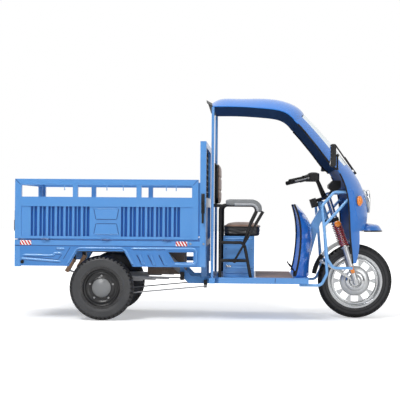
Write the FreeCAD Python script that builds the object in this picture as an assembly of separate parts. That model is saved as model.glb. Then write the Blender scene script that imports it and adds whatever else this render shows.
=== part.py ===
import FreeCAD
import Part
import math
import os

# Electric cargo tricycle. Millimetres, +X forward, +Y to the rider's left, +Z up, ground at Z = 0.

# Wheels and stance
FRONT_AXLE_X = 1181.0
REAR_AXLE_X = -788.0
FRONT_TYRE_R = 295.0
FRONT_TYRE_HALF = 45.0
REAR_TYRE_R = 250.0
REAR_TYRE_HALF = 48.0
REAR_WHEEL_Y = 425.0
TYRE_WALL = 9.0
FRONT_RIM_R = 202.0
REAR_RIM_R = 150.0
RIM_FLANGE = 13.0
RIM_WALL = 5.0
FIT = 0.05
SEAT_GAP = 0.4
TYRE_SIDE_SHARE = 0.52
TYRE_SHOULDER_SHARE = 0.86
TYRE_BEAD_WIDTH_SHARE = 0.76
TYRE_SHOULDER_WIDTH_SHARE = 0.84
FRONT_HUB_R = 76.0
FRONT_HUB_HALF = 42.0
FRONT_AXLE_R = 8.0
FRONT_WEB = 14.0
FRONT_WINDOW_IN = 118.0
FRONT_WINDOW_OUT = 184.0
FRONT_WINDOW_WIDTH = 60.0
FRONT_WINDOWS = 10
REAR_HUB_R = 32.0
REAR_SPINDLE_R = 14.0
REAR_DISC = 5.0
REAR_DISC_SET = 10.0
REAR_DISC_HOLE_R = 15.0
REAR_DISC_HOLES = 6
REAR_DISC_HOLE_PITCH = 116.0
DRUM_R = 92.0
DRUM_WALL = 6.0
DRUM_DEPTH = 46.0
HUBCAP_R = 73.0
HUBCAP_RISE = 26.0

# Rear axle, springs and brake rods
AXLE_TUBE_R = 30.0
AXLE_END_GAP = 66.0
PLATE_R = 88.0
PLATE_THICK = 4.0
GEARBOX_R = 92.0
GEARBOX_HALF = 55.0
GEARBOX_Y = 75.0
MOTOR_R = 80.0
MOTOR_LONG = 190.0
MOTOR_COVER_R = 66.0
MOTOR_COVER = 16.0
LEAF_Y = 280.0
LEAF_WIDE = 50.0
LEAF_THICK = 9.0
LEAVES = 5
LEAF_FRONT_X = -179.0
LEAF_FRONT_Z = 322.0
LEAF_REAR_X = -1075.0
LEAF_REAR_Z = 376.0
LEAF_EYE_R = 17.0
LEAF_PIN_R = 8.0
LEAF_SHORTEN_SHARE = 0.17
SHACKLE_TOP_X = -1032.0
SHACKLE_TOP_Z = 452.0
SHACKLE_WIDE = 30.0
SHACKLE_PLATE = 6.0
CLAMP_LONG = 90.0
CLAMP_PLATE = 8.0
UBOLT_R = 6.0
BRAKE_ROD_R = 5.0
BRAKE_ROD_Y = 320.0
BRAKE_ROD_FRONT_X = 2.0
BRAKE_ROD_FRONT_Z = 262.0
BRAKE_ARM_DROP = 62.0
BRAKE_ARM_AHEAD = 40.0
BRAKE_EYE_R = 12.0
BRAKE_PIN_R = 4.0
BRAKE_EYE_PLAY = 3.2

# Chassis
RAIL_Y = 220.0
RAIL_WIDE = 40.0
RAIL_TALL = 55.0
RAIL_REAR_X = -1400.0
RAIL_FRONT_BEHIND = 381.0
RAIL_BEND_REAR_X = -345.0
RAIL_BEND_FRONT_X = -110.0
FLOOR_TOP = 338.0
FLOOR_SHEET = 5.0
CROSS_WIDE = 40.0
CROSS_REAR_SHARES = (0.02, 0.33, 0.52, 0.94)
OUTRIGGER_WIDE = 44.0

# Cargo bed
BED_REAR_X = -1449.0
BED_FRONT_X = -47.0
BED_HALF = 500.0
BED_RAIL_BOTTOM = 569.0
BED_RAIL_TOP = 616.0
BED_RAIL_WIDE = 45.0
BED_SHEET = 4.0
BED_CROSSES = 6
BED_CROSS_WIDE = 40.0
POST_FOOT_Z = 410.0
POST_WIDE = 41.0
HINGE_R = 7.0
HINGE_PIN_R = 3.5
HINGE_OUT = 8.5
HINGE_LONG = 28.0
HINGE_GAP = 0.4
HINGE_LEAF = 16.0
HINGE_SHARES = (0.17, 0.5, 0.83)

# Gates
GATE_BOTTOM = 622.0
GATE_TOP = 1080.0
GATE_THICK = 35.0
GATE_STILE = 49.0
TOP_RAIL = 45.0
GAP_TALL = 91.0
MID_RAIL = 73.0
LOW_RAIL = 23.0
GATE_POST_WIDE = 38.0
GATE_POST_SHARES = (0.33, 0.677)
RIB_STRIP = 72.0
RIB_PITCH = 67.0
RIBS = 7
RIB_RECESS = 6.0
RIB_DEPTH = 17.0
SHEET = 2.0
RIB_SHARES = ((0.0, 0.0), (0.06, 1.0), (0.22, 1.0), (0.28, 0.3), (0.40, 0.3), (0.46, 1.0), (0.68, 1.0),
              (0.74, 0.0))
CENTRE_PLATE = 160.0
EMBOSS = 4.0
EMBOSS_TALL = 80.0
EMBOSS_MARGIN = 16.0
EMBOSS_SLANT = 16.0
TAILGATE_SIDE_GAP = 4.0

# Headboard
HEAD_REAR_X = -35.0
HEAD_FRONT_X = 10.0
HEAD_TOP = 1373.0
MESH_THICK = 4.0
MESH_BAR = 8.0
MESH_ACROSS = 16
MESH_UP = 8

# Skirts
SKIRT = 3.0
SKIRT_BOTTOM = 417.0
ARCH_TOP = 533.0
ARCH_SHARES = ((-0.98, 0.0), (-0.71, 1.0), (0.71, 1.0), (0.98, 0.0))
BEAD = 6.0
BEAD_WIDE = 13.0
SKIRT_BEAD_GAP = 14.0
WINDOW_REAR_X = -272.0
WINDOW_FRONT_X = -83.0
WINDOW_TOP = 529.0
WINDOW_BOTTOM = 455.0
WINDOW_SLANT = 45.0
SLANT_RIBS = 3
SLANT_RIB_X = -500.0
SLANT_RIB_PITCH = 84.0
SLANT_RIB_WIDE = 22.0
SLANT_RIB_LEAN = 26.0
SLANT_RIB_TOP = 513.0
SLANT_RIB_BOTTOM = 433.0

# Latches
LATCH_WIDE = 26.0
LATCH_PLATE = 4.0
LATCH_LONG = 150.0
LATCH_PIN_R = 5.0
LATCH_STAND = 12.0
LATCH_LEVER = 7.0
LATCH_GRIP_R = 8.0
LATCH_BAIL_R = 3.5
LATCH_FRONT_Z = 900.0
LATCH_REAR_Z = 830.0
LATCH_REAR_INSET = 60.0

# Cab floor, seat box and batteries
CAB_HALF = 430.0
FLOOR_REAR_X = 107.0
FLOOR_FRONT_BEHIND = 388.0
SILL_TALL = 46.0
SILL_WIDE = 25.0
MAT_REAR_X = 392.0
MAT_FRONT_BEHIND = 509.0
MAT_HALF = 370.0
MAT_THICK = 5.0
BOX_REAR_X = 140.0
BOX_FRONT_X = 379.0
BOX_CLEAR = 53.0
BOX_TOP = 652.0
BOX_WALL = 3.0
BOX_RIB = 5.0
BOX_RIBS = 5
BOX_RIB_SHARE = 0.55
BATTERY_LONG = 105.0
BATTERY_SIDE_GAP = 38.0
BATTERY_TALL = 170.0
BATTERY_GAP = 6.0
BATTERIES = 4

# Seat
CUSHION_REAR_X = 135.0
CUSHION_FRONT_X = 428.0
CUSHION_OVERHANG = 5.0
CUSHION_TOP = 757.0
CUSHION_CROWN = 14.0
CUSHION_DRAW = 16.0
BACK_REAR_X = 66.0
BACK_FRONT_X = 112.0
BACK_BOTTOM = 898.0
BACK_TOP = 1215.0
BACK_HALF = 300.0
BACK_CROWN = 14.0
BACK_DRAW = 16.0
BACK_BOARD = 10.0
FRAME_TUBE_R = 12.0
FRAME_INSET = 30.0
FRAME_POST_X = 116.0
FRAME_BEND = 40.0
ARM_Z = 890.0
ARM_FRONT_X = 418.0
ARM_END_X = 345.0
ARM_END_Z = 740.0
LEG_TOP_Z = 604.0
LEG_BEND_X = 300.0
LEG_FOOT_X = 351.0
CROSSBAR_Z = 466.0
BACK_BAR_TALL = 24.0
PAD_REAR_X = 156.0
PAD_TALL = 34.0
PAD_WIDE = 62.0
PAD_SHARES = ((0.0, 0.9), (0.12, 0.4), (0.5, 0.0), (0.88, 0.4), (1.0, 0.9))

# Parking lever
LEVER_PIVOT_X = 228.0
LEVER_TIP_X = 443.0
LEVER_TIP_Z = 844.0
LEVER_R = 8.0
LEVER_GRIP_R = 12.0
LEVER_GRIP_LONG = 110.0
LEVER_GAP = 1.0
LEVER_EYE_R = 17.0
LEVER_EYE_HALF = 10.0
LEVER_PIN_R = 6.0

# Canopy, windscreen and fairing: edge and centre outlines as real places along the side view
CAB_POST_X = 57.0
CAB_POST_R = 11.0
SHELL = 6.0
GLASS = 4.0
PILLAR_WIDE = 150.0
ROOF_EDGE_Z = 1646.0
ROOF_CREST_Z = 1741.0
ROOF_REAR_X = 53.0
BROW_BEHIND = 495.0
BROW_Z = 1533.0
BROW_CREST_BEHIND = 412.0
BROW_CREST_Z = 1616.0
COWL_BEHIND = 174.0
COWL_Z = 1169.0
COWL_CREST_BEHIND = 71.0
COWL_CREST_Z = 1222.0
NOSE_BEHIND = 83.0
NOSE_Z = 872.0
NOSE_CREST_AHEAD = 89.0
NOSE_CREST_Z = 905.0
CHIN_BEHIND = 75.0
CHIN_Z = 690.0
CHIN_CREST_AHEAD = 75.0
CHIN_CREST_Z = 705.0
WING_TIP_BEHIND = 52.0
WING_TIP_Z = 453.0
ROOF_SHARES = ((0.0, 0.0, -0.02, 0.56), (0.15, 0.0, 0.09, 0.97), (0.55, 0.09, 0.41, 1.0),
               (0.76, 0.2, 0.7, 0.9), (0.88, 0.4, 0.88, 0.48))
SCREEN_SHARES = ((0.36, 0.35, 0.29, 0.26), (0.71, 0.75, 0.63, 0.59))
FAIRING_SHARES = ((0.75, 0.49, 0.66, 0.48),)
WING_SHARES = ((0.0, 0.7), (0.6, 0.79), (1.0, 0.92))
VISOR_OUT = 45.0
VISOR_RISE = 26.0
LAMP_PROUD = 18.0
HEADLAMP_R = 92.0
HEADLAMP_Z = 930.0
SIGNAL_Y = 330.0
SIGNAL_WIDE = 40.0
SIGNAL_TALL = 72.0
BEAK_HALF = 165.0
BEAK_TIP_HALF = 70.0
BEAK_TIP_AHEAD = 214.0
BEAK_TOP = 756.0
BEAK_TIP_Z = 708.0
BEAK_BOTTOM = 688.0
BEAK_WALL = 5.0

# Leg shield
SHIELD_HALF = 400.0
SHIELD_TOP = 902.0
SHIELD_EDGE_BEHIND = 443.0
SHIELD_CREST_BEHIND = 339.0
SHIELD_SHARES = ((0.0, -0.44, 0.75, 1.0), (0.13, -0.25, 0.76, 1.0), (0.37, -0.06, 0.93, 1.0),
                 (0.57, 0.0, 1.0, 1.0), (0.81, -0.12, 0.6, 0.88), (1.0, -0.42, -0.26, 0.56))
SHIELD_SLOT_GAP = 3.0

# Front frame and guard bars
HEAD_R = 27.0
HEAD_LOW = 534.0
HEAD_HIGH = 684.0
DOWN_TUBE = 50.0
DOWN_TUBE_BEHIND = 396.0
GUSSET_TIP_BEHIND = 331.0
GUSSET_TIP_Z = 690.0
GUSSET_SHARES = (0.38, 0.75)
GUARD_R = 11.0
GUARD_WELD_R = 7.0
GUARD_Y = 392.0
GUARD_TOP_Z = 996.0
GUARD_BACK_BEHIND = 289.0
GUARD_KNEE_Z = 890.0
GUARD_LOW_BEHIND = 245.0
GUARD_LOW_Z = 481.0
GUARD_FOOT_Z = 416.0
GUARD_BEND = 45.0
STEP_BAR_BEHIND = 457.0
STEP_FRONT_BEHIND = 245.0
STEP_TOP_Z = 675.0

# Fork, in the fork's own frame: along the legs from the axle, and ahead of them
RAKE = 18.0
LEG_Y = 95.0
STEER_BACK = 71.0
SLIDER_R = 24.0
SLIDER_TOP = 288.0
SLIDER_FOOT = 22.0
SLIDER_BORE_LOW = 130.0
COLLAR_R = 36.0
COLLAR = 10.0
STANCHION_R = 16.0
STANCHION_LOW = 200.0
STANCHION_TOP = 722.0
SPRING_GAP = 2.0
SPRING_CAP_LOW = 474.0
SPRING_CAP = 8.0
SPRING_WIRE_R = 5.0
SPRING_COIL_R = 30.0
SPRING_TURNS = 8
SPRING_PROBES = 7
YOKE_LOW = 500.0
YOKE_THICK = 28.0
YOKE_HIGH = 690.0
YOKE_TOP_THICK = 24.0
YOKE_EDGE = 22.0
STEM_R = 15.0
MUDGUARD_R = 338.0
MUDGUARD_HALF = 52.0
MUDGUARD_WALL = 3.0
MUDGUARD_LIP = 26.0
MUDGUARD_REAR = 168.0
MUDGUARD_FRONT = 85.0
STAY = 5.0
STAY_WIDE = 18.0

# Handlebar and controls
BAR_R = 11.0
RISER_R = 10.0
RISER_Y = 45.0
RISER_TOP_BEHIND = 312.0
RISER_TOP_Z = 1119.0
BAR_BEND = 38.0
BAR_OUT_BEHIND = 381.0
BAR_OUT_Y = 215.0
BAR_OUT_Z = 1113.0
BAR_END_BEHIND = 526.0
BAR_END_Y = 330.0
BAR_END_Z = 1078.0
GRIP_R = 17.0
GRIP_LONG = 125.0
POD_R = 21.0
POD_LONG = 42.0
POD_GAP = 2.0
BRAKE_LEVER_R = 6.0
BRAKE_LEVER_OUT = 52.0
BRAKE_LEVER_LONG = 150.0
BRAKE_EAR_R = 12.0
BRAKE_EAR = 6.0
LEVER_STAND = 16.0
LOCK_LONG = 76.0
LOCK_HALF = 48.0
LOCK_TALL = 70.0
METER_REAR_BEHIND = 216.0
METER_FRONT_BEHIND = 121.0
METER_HALF = 85.0
METER_BOTTOM = 1000.0
METER_TOP = 1092.0
METER_LEAN = 34.0
METER_ARM = 12.0

# Mirrors, wiper and pedal
MIRROR_STALK_R = 7.0
MIRROR_BEND_SHARE = 3.0
MIRROR_Y = 470.0
MIRROR_BEHIND = 218.0
MIRROR_BOTTOM = 1183.0
MIRROR_TALL = 170.0
MIRROR_WIDE = 110.0
MIRROR_THICK = 42.0
MIRROR_BALL_R = 12.0
WIPER_BOSS_R = 13.0
WIPER_BOSS = 18.0
WIPER_ARM = 150.0
WIPER_ARM_WIDE = 12.0
WIPER_ARM_THICK = 6.0
WIPER_BLADE = 240.0
WIPER_BLADE_WIDE = 16.0
WIPER_LIFT = 20.0
WIPER_SEAT = 3.0
PEDAL_PIVOT_BEHIND = 481.0
PEDAL_PIVOT_UP = 26.0
PEDAL_Y = -150.0
PEDAL_PIN_R = 7.0
PEDAL_ARM = 12.0
PEDAL_REACH = 46.0
PEDAL_RISE = 70.0
PEDAL_PAD_WIDE = 70.0
PEDAL_PAD_TALL = 46.0
PEDAL_PAD = 10.0
PEDAL_EAR = 8.0
TAIL_LAMP_WIDE = 120.0
TAIL_LAMP_TALL = 60.0
TAIL_LAMP = 22.0
STORAGE_LONG = 292.0
STORAGE_TALL = 172.0
STORAGE_HALF = 150.0
STORAGE_X = -316.0
OVERRUN = 30.0

# Worked-out places
RAIL_FRONT_X = FRONT_AXLE_X - RAIL_FRONT_BEHIND
FLOOR_FRONT_X = FRONT_AXLE_X - FLOOR_FRONT_BEHIND
MAT_FRONT_X = FRONT_AXLE_X - MAT_FRONT_BEHIND
BROW_X = FRONT_AXLE_X - BROW_BEHIND
BROW_CREST_X = FRONT_AXLE_X - BROW_CREST_BEHIND
COWL_X = FRONT_AXLE_X - COWL_BEHIND
COWL_CREST_X = FRONT_AXLE_X - COWL_CREST_BEHIND
NOSE_X = FRONT_AXLE_X - NOSE_BEHIND
NOSE_CREST_X = FRONT_AXLE_X + NOSE_CREST_AHEAD
CHIN_X = FRONT_AXLE_X - CHIN_BEHIND
CHIN_CREST_X = FRONT_AXLE_X + CHIN_CREST_AHEAD
WING_TIP_X = FRONT_AXLE_X - WING_TIP_BEHIND
BEAK_TIP_X = FRONT_AXLE_X + BEAK_TIP_AHEAD
SHIELD_EDGE_X = FRONT_AXLE_X - SHIELD_EDGE_BEHIND
SHIELD_CREST_X = FRONT_AXLE_X - SHIELD_CREST_BEHIND
DOWN_TUBE_X = FRONT_AXLE_X - DOWN_TUBE_BEHIND
GUSSET_TIP_X = FRONT_AXLE_X - GUSSET_TIP_BEHIND
GUARD_BACK_X = FRONT_AXLE_X - GUARD_BACK_BEHIND
GUARD_LOW_X = FRONT_AXLE_X - GUARD_LOW_BEHIND
STEP_BAR_X = FRONT_AXLE_X - STEP_BAR_BEHIND
STEP_FRONT_X = FRONT_AXLE_X - STEP_FRONT_BEHIND
RISER_TOP_X = FRONT_AXLE_X - RISER_TOP_BEHIND
BAR_OUT_X = FRONT_AXLE_X - BAR_OUT_BEHIND
BAR_END_X = FRONT_AXLE_X - BAR_END_BEHIND
METER_REAR_X = FRONT_AXLE_X - METER_REAR_BEHIND
METER_FRONT_X = FRONT_AXLE_X - METER_FRONT_BEHIND
MIRROR_X = FRONT_AXLE_X - MIRROR_BEHIND
PEDAL_PIVOT_X = FRONT_AXLE_X - PEDAL_PIVOT_BEHIND
FRAME_Y = CAB_HALF - FRAME_INSET
BOX_HALF = FRAME_Y - FRAME_TUBE_R - BOX_RIB - BOX_CLEAR
CUSHION_HALF = BOX_HALF + CUSHION_OVERHANG
BATTERY_SPAN = 2 * (BOX_HALF - BOX_WALL - BATTERY_SIDE_GAP)
BATTERY_WIDE = (BATTERY_SPAN - (BATTERIES - 1) * BATTERY_GAP) / BATTERIES
AXLE_FRONT_Z = FRONT_TYRE_R
AXLE_REAR_Z = REAR_TYRE_R
SINE = math.sin(math.radians(RAKE))
COSINE = math.cos(math.radians(RAKE))
HINGE_Z = (BED_RAIL_TOP + GATE_BOTTOM) / 2
RAIL_TOP = BED_RAIL_BOTTOM
CUSHION_BASE = BOX_TOP + SEAT_GAP
RAIL_LOW_TOP = FLOOR_TOP - FLOOR_SHEET
GATE_LONG = BED_FRONT_X - BED_REAR_X
GAP_TOP = GATE_TOP - TOP_RAIL
GAP_BOTTOM = GAP_TOP - GAP_TALL
RIB_TOP = GAP_BOTTOM - MID_RAIL
RIB_BOTTOM = GATE_BOTTOM + LOW_RAIL


def vec(x, y, z):
    return FreeCAD.Vector(x, y, z)


def block(x0, x1, y0, y1, z0, z1):
    return Part.makeBox(x1 - x0, y1 - y0, z1 - z0, vec(x0, y0, z0))


def rod(start, end, radius):
    along = end - start
    return Part.makeCylinder(radius, along.Length, start, along)


def cross_rod(x, y0, y1, z, radius):
    return rod(vec(x, y0, z), vec(x, y1, z), radius)


def slab(points, y0, y1):
    """Extrude an X-Z outline from y0 to y1."""
    corners = [vec(x, y0, z) for x, z in points]
    face = Part.Face(Part.makePolygon(corners + corners[:1]))
    return face.extrude(vec(0, y1 - y0, 0))


def plan(points, z0, z1):
    """Extrude an X-Y outline from z0 to z1."""
    corners = [vec(x, y, z0) for x, y in points]
    face = Part.Face(Part.makePolygon(corners + corners[:1]))
    return face.extrude(vec(0, 0, z1 - z0))


def bent_rod(points, radius, bend):
    """Sweep a round bar along straight runs joined by tangent arcs."""
    edges = []
    start = points[0]
    for before, corner, after in zip(points, points[1:], points[2:]):
        inward = (before - corner).normalize()
        onward = (after - corner).normalize()
        half = inward.getAngle(onward) / 2
        reach = bend / math.tan(half)
        entry = corner + inward * reach
        leave = corner + onward * reach
        middle_way = (inward + onward).normalize()
        middle = corner + middle_way * (bend / math.sin(half) - bend)
        edges.append(Part.makeLine(start, entry))
        edges.append(Part.Arc(entry, middle, leave).toShape())
        start = leave
    edges.append(Part.makeLine(start, points[-1]))
    path = Part.Wire(edges)
    section = Part.Wire(Part.makeCircle(radius, points[0], points[1] - points[0]))
    return path.makePipeShell([section], True, False)


def fuse(shapes):
    whole = shapes[0]
    if len(shapes) > 1:
        whole = shapes[0].multiFuse(shapes[1:])
    return whole.removeSplitter()


def mirrored(shape):
    return shape.mirror(vec(0, 0, 0), vec(0, 1, 0))


def both(shape):
    return [shape, mirrored(shape)]


NODES = {}


def save(name, shapes):
    """Keep separate solids under a node's name; several functions may add to one node."""
    NODES.setdefault(name, []).extend(shapes)


def write_nodes():
    os.makedirs("parts", exist_ok=True)
    for name, shapes in NODES.items():
        shape = shapes[0] if len(shapes) == 1 else Part.makeCompound(shapes)
        shape.exportStep("parts/" + name + ".step")
        print(name, len(shape.Solids), shape.isValid(), [round(solid.Volume) for solid in shape.Solids][:4])


def turned(points, x, y, z):
    """Turn a closed outline of (radius, across) points about a wheel's axle."""
    corners = [vec(0, across, radius) for radius, across in points]
    face = Part.Face(Part.makePolygon(corners + corners[:1]))
    ring = face.revolve(vec(0, 0, 0), vec(0, 1, 0), 360)
    ring.translate(vec(x, y, z))
    return ring


def from_fork(shape):
    """Place a shape made in the fork's frame: X ahead of the legs, Z along them from the axle."""
    placed = shape.copy()
    placed.rotate(vec(0, 0, 0), vec(0, 1, 0), -RAKE)
    placed.translate(vec(FRONT_AXLE_X, 0, AXLE_FRONT_Z))
    return placed


# Wheels
def tyre(radius, half, bead, x, y, z):
    """Revolve a hollow tyre section made of arcs."""
    def outline(wall):
        side = bead + (radius - bead) * TYRE_SIDE_SHARE
        shoulder = bead + (radius - bead) * TYRE_SHOULDER_SHARE
        return (bead, half * TYRE_BEAD_WIDTH_SHARE - wall, side, half - wall,
                shoulder - wall, half * TYRE_SHOULDER_WIDTH_SHARE - wall, radius - wall)

    def arcs(values):
        low, low_half, side, side_half, top, top_half, crown = values
        right = Part.Arc(vec(0, -low_half, low), vec(0, -side_half, side), vec(0, -top_half, top))
        tread = Part.Arc(vec(0, -top_half, top), vec(0, 0, crown), vec(0, top_half, top))
        left = Part.Arc(vec(0, top_half, top), vec(0, side_half, side), vec(0, low_half, low))
        return [arc.toShape() for arc in (right, tread, left)], vec(0, -low_half, low), vec(0, low_half, low)

    outer, outer_right, outer_left = arcs(outline(0))
    inner, inner_right, inner_left = arcs(outline(TYRE_WALL))
    edges = outer + inner + [Part.makeLine(outer_right, inner_right), Part.makeLine(outer_left, inner_left)]
    face = Part.Face(Part.Wire(Part.__sortEdges__(edges)))
    ring = face.revolve(vec(0, 0, 0), vec(0, 1, 0), 360)
    ring.translate(vec(x, y, z))
    return ring


def rim_barrel(radius, half, x, y, z):
    """A drop-free rim: a barrel with a flange on each side."""
    edge = half * TYRE_BEAD_WIDTH_SHARE + SEAT_GAP
    outer = edge + RIM_WALL
    points = [(radius - RIM_WALL, -outer), (radius + RIM_FLANGE, -outer), (radius + RIM_FLANGE, -edge),
              (radius, -edge), (radius, edge), (radius + RIM_FLANGE, edge),
              (radius + RIM_FLANGE, outer), (radius - RIM_WALL, outer)]
    return turned(points, x, y, z)


def front_wheel():
    place = (FRONT_AXLE_X, 0, AXLE_FRONT_Z)
    barrel = rim_barrel(FRONT_RIM_R, FRONT_TYRE_HALF, *place)
    save("front_tyre", [tyre(FRONT_TYRE_R, FRONT_TYRE_HALF, FRONT_RIM_R + SEAT_GAP, *place).cut(barrel)])
    bore = FRONT_AXLE_R + FIT
    hub = turned([(bore, -FRONT_HUB_HALF), (FRONT_HUB_R, -FRONT_HUB_HALF),
                  (FRONT_HUB_R, FRONT_HUB_HALF), (bore, FRONT_HUB_HALF)], *place)
    web = turned([(FRONT_HUB_R - RIM_WALL, -FRONT_WEB / 2), (FRONT_RIM_R - RIM_WALL / 2, -FRONT_WEB / 2),
                  (FRONT_RIM_R - RIM_WALL / 2, FRONT_WEB / 2), (FRONT_HUB_R - RIM_WALL, FRONT_WEB / 2)],
                  *place)
    windows = []
    for number in range(FRONT_WINDOWS):
        window = block(-FRONT_WINDOW_WIDTH / 2, FRONT_WINDOW_WIDTH / 2, -FRONT_WEB, FRONT_WEB,
                       FRONT_WINDOW_IN, FRONT_WINDOW_OUT)
        window.rotate(vec(0, 0, 0), vec(0, 1, 0), 360 * number / FRONT_WINDOWS)
        window.translate(vec(*place))
        windows.append(window)
    web = web.cut(Part.makeCompound(windows))
    save("front_rim", [fuse([barrel, web, hub])])


def rear_wheel(side, name):
    """One rear wheel; side is -1 on the right and 1 on the left."""
    place = (REAR_AXLE_X, 0, AXLE_REAR_Z)
    bore = REAR_SPINDLE_R + FIT
    barrel = rim_barrel(REAR_RIM_R, REAR_TYRE_HALF, *place)
    rubber = tyre(REAR_TYRE_R, REAR_TYRE_HALF, REAR_RIM_R + SEAT_GAP, *place).cut(barrel)
    disc_out = REAR_DISC_SET + REAR_DISC
    barrel_in = REAR_RIM_R - RIM_WALL / 2
    disc = turned([(bore, REAR_DISC_SET), (barrel_in, REAR_DISC_SET), (barrel_in, disc_out),
                   (bore, disc_out)], *place)
    holes = []
    for number in range(REAR_DISC_HOLES):
        hole = cross_rod(0, 0, DRUM_DEPTH, REAR_DISC_HOLE_PITCH, REAR_DISC_HOLE_R)
        hole.rotate(vec(0, 0, 0), vec(0, 1, 0), 360 * number / REAR_DISC_HOLES)
        hole.translate(vec(*place))
        holes.append(hole)
    disc = disc.cut(Part.makeCompound(holes))
    hub = turned([(bore, -DRUM_DEPTH), (REAR_HUB_R, -DRUM_DEPTH), (REAR_HUB_R, disc_out), (bore, disc_out)],
                 *place)
    drum = turned([(DRUM_R, -DRUM_DEPTH), (DRUM_R + DRUM_WALL, -DRUM_DEPTH),
                   (DRUM_R + DRUM_WALL, REAR_DISC_SET), (DRUM_R, REAR_DISC_SET)], *place)
    rim = fuse([barrel, disc, hub, drum])
    dome_r = (HUBCAP_R * HUBCAP_R + HUBCAP_RISE * HUBCAP_RISE) / (2 * HUBCAP_RISE)
    ball = Part.makeSphere(dome_r, vec(REAR_AXLE_X, disc_out + HUBCAP_RISE - dome_r, AXLE_REAR_Z))
    inner = Part.makeSphere(dome_r - RIM_WALL, vec(REAR_AXLE_X, disc_out + HUBCAP_RISE - dome_r,
                                                   AXLE_REAR_Z))
    keep = cross_rod(REAR_AXLE_X, disc_out, disc_out + HUBCAP_RISE + OVERRUN, AXLE_REAR_Z, HUBCAP_R)
    cap = ball.cut(inner).common(keep)
    for shape, piece in ((rubber, "rear_tyre_"), (rim, "rear_rim_"), (cap, "rear_rim_")):
        placed = shape.copy()
        placed.translate(vec(0, REAR_WHEEL_Y, 0))
        save(piece + name, [placed if side > 0 else mirrored(placed)])


# Rear axle and springs
def rear_axle():
    end = REAR_WHEEL_Y - AXLE_END_GAP
    tube = cross_rod(REAR_AXLE_X, GEARBOX_Y, end, AXLE_REAR_Z, AXLE_TUBE_R)
    right_tube = cross_rod(REAR_AXLE_X, -end, GEARBOX_Y - GEARBOX_HALF - MOTOR_LONG, AXLE_REAR_Z,
                           AXLE_TUBE_R)
    gearbox = cross_rod(REAR_AXLE_X, GEARBOX_Y - GEARBOX_HALF, GEARBOX_Y + GEARBOX_HALF, AXLE_REAR_Z,
                        GEARBOX_R)
    spindle_end = REAR_WHEEL_Y + REAR_DISC_SET + REAR_DISC + SEAT_GAP
    pieces = [tube, gearbox]
    right = [right_tube]
    for group, side in ((pieces, 1), (right, -1)):
        plate_in = REAR_WHEEL_Y - DRUM_DEPTH - SEAT_GAP - PLATE_THICK
        plate = cross_rod(REAR_AXLE_X, plate_in, plate_in + PLATE_THICK, AXLE_REAR_Z, PLATE_R)
        spindle = cross_rod(REAR_AXLE_X, end - RIM_WALL, spindle_end, AXLE_REAR_Z, REAR_SPINDLE_R)
        pin_x = REAR_AXLE_X + BRAKE_ARM_AHEAD
        pin_z = AXLE_REAR_Z - BRAKE_ARM_DROP
        arm_y = BRAKE_ROD_Y + BRAKE_EYE_R
        arm = block(pin_x - BRAKE_EYE_R, pin_x + BRAKE_EYE_R, arm_y + SEAT_GAP, plate_in,
                    pin_z - BRAKE_EYE_R,
                    pin_z + BRAKE_EYE_R)
        pin = cross_rod(pin_x, BRAKE_ROD_Y - BRAKE_EYE_R, arm_y + BRAKE_EYE_R, pin_z, BRAKE_PIN_R)
        seat = block(REAR_AXLE_X - CLAMP_LONG / 2, REAR_AXLE_X + CLAMP_LONG / 2, LEAF_Y - LEAF_WIDE / 2,
                     LEAF_Y + LEAF_WIDE / 2, AXLE_REAR_Z, AXLE_REAR_Z + AXLE_TUBE_R + CLAMP_PLATE)
        shapes = [plate, spindle, arm, pin, seat]
        group.extend(shapes if side > 0 else [mirrored(shape) for shape in shapes])
    save("rear_axle", [fuse(pieces)])
    save("rear_axle", [fuse(right)])
    motor_in = GEARBOX_Y - GEARBOX_HALF
    motor = cross_rod(REAR_AXLE_X, motor_in - MOTOR_LONG + MOTOR_COVER, motor_in, AXLE_REAR_Z, MOTOR_R)
    cover = cross_rod(REAR_AXLE_X, motor_in - MOTOR_LONG, motor_in - MOTOR_LONG + MOTOR_COVER, AXLE_REAR_Z,
                      MOTOR_COVER_R)
    save("drive_motor", [fuse([motor, cover])])


def spring_clamps():
    """U-bolts and top plates that hold the springs down on the axle seats."""
    top = AXLE_REAR_Z + AXLE_TUBE_R + CLAMP_PLATE + LEAVES * LEAF_THICK
    shapes = []
    for step in (-1, 1):
        x = REAR_AXLE_X + step * (CLAMP_LONG / 2 - UBOLT_R)
        plate_half = LEAF_WIDE / 2 + 3 * UBOLT_R
        plate = block(x - 2 * UBOLT_R, x + 2 * UBOLT_R, LEAF_Y - plate_half, LEAF_Y + plate_half, top,
                      top + CLAMP_PLATE)
        foot = block(x - 2 * UBOLT_R, x + 2 * UBOLT_R, LEAF_Y - plate_half, LEAF_Y + plate_half,
                     AXLE_REAR_Z - AXLE_TUBE_R - CLAMP_PLATE, AXLE_REAR_Z - AXLE_TUBE_R)
        legs = [rod(vec(x, LEAF_Y + away * (LEAF_WIDE / 2 + 2 * UBOLT_R),
                        AXLE_REAR_Z - AXLE_TUBE_R - 2 * CLAMP_PLATE),
                    vec(x, LEAF_Y + away * (LEAF_WIDE / 2 + 2 * UBOLT_R), top + 2 * CLAMP_PLATE), UBOLT_R)
                for away in (-1, 1)]
        shapes.append(fuse([plate, foot] + legs))
    save("rear_axle", [copy for shape in shapes for copy in both(shape)])


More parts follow.
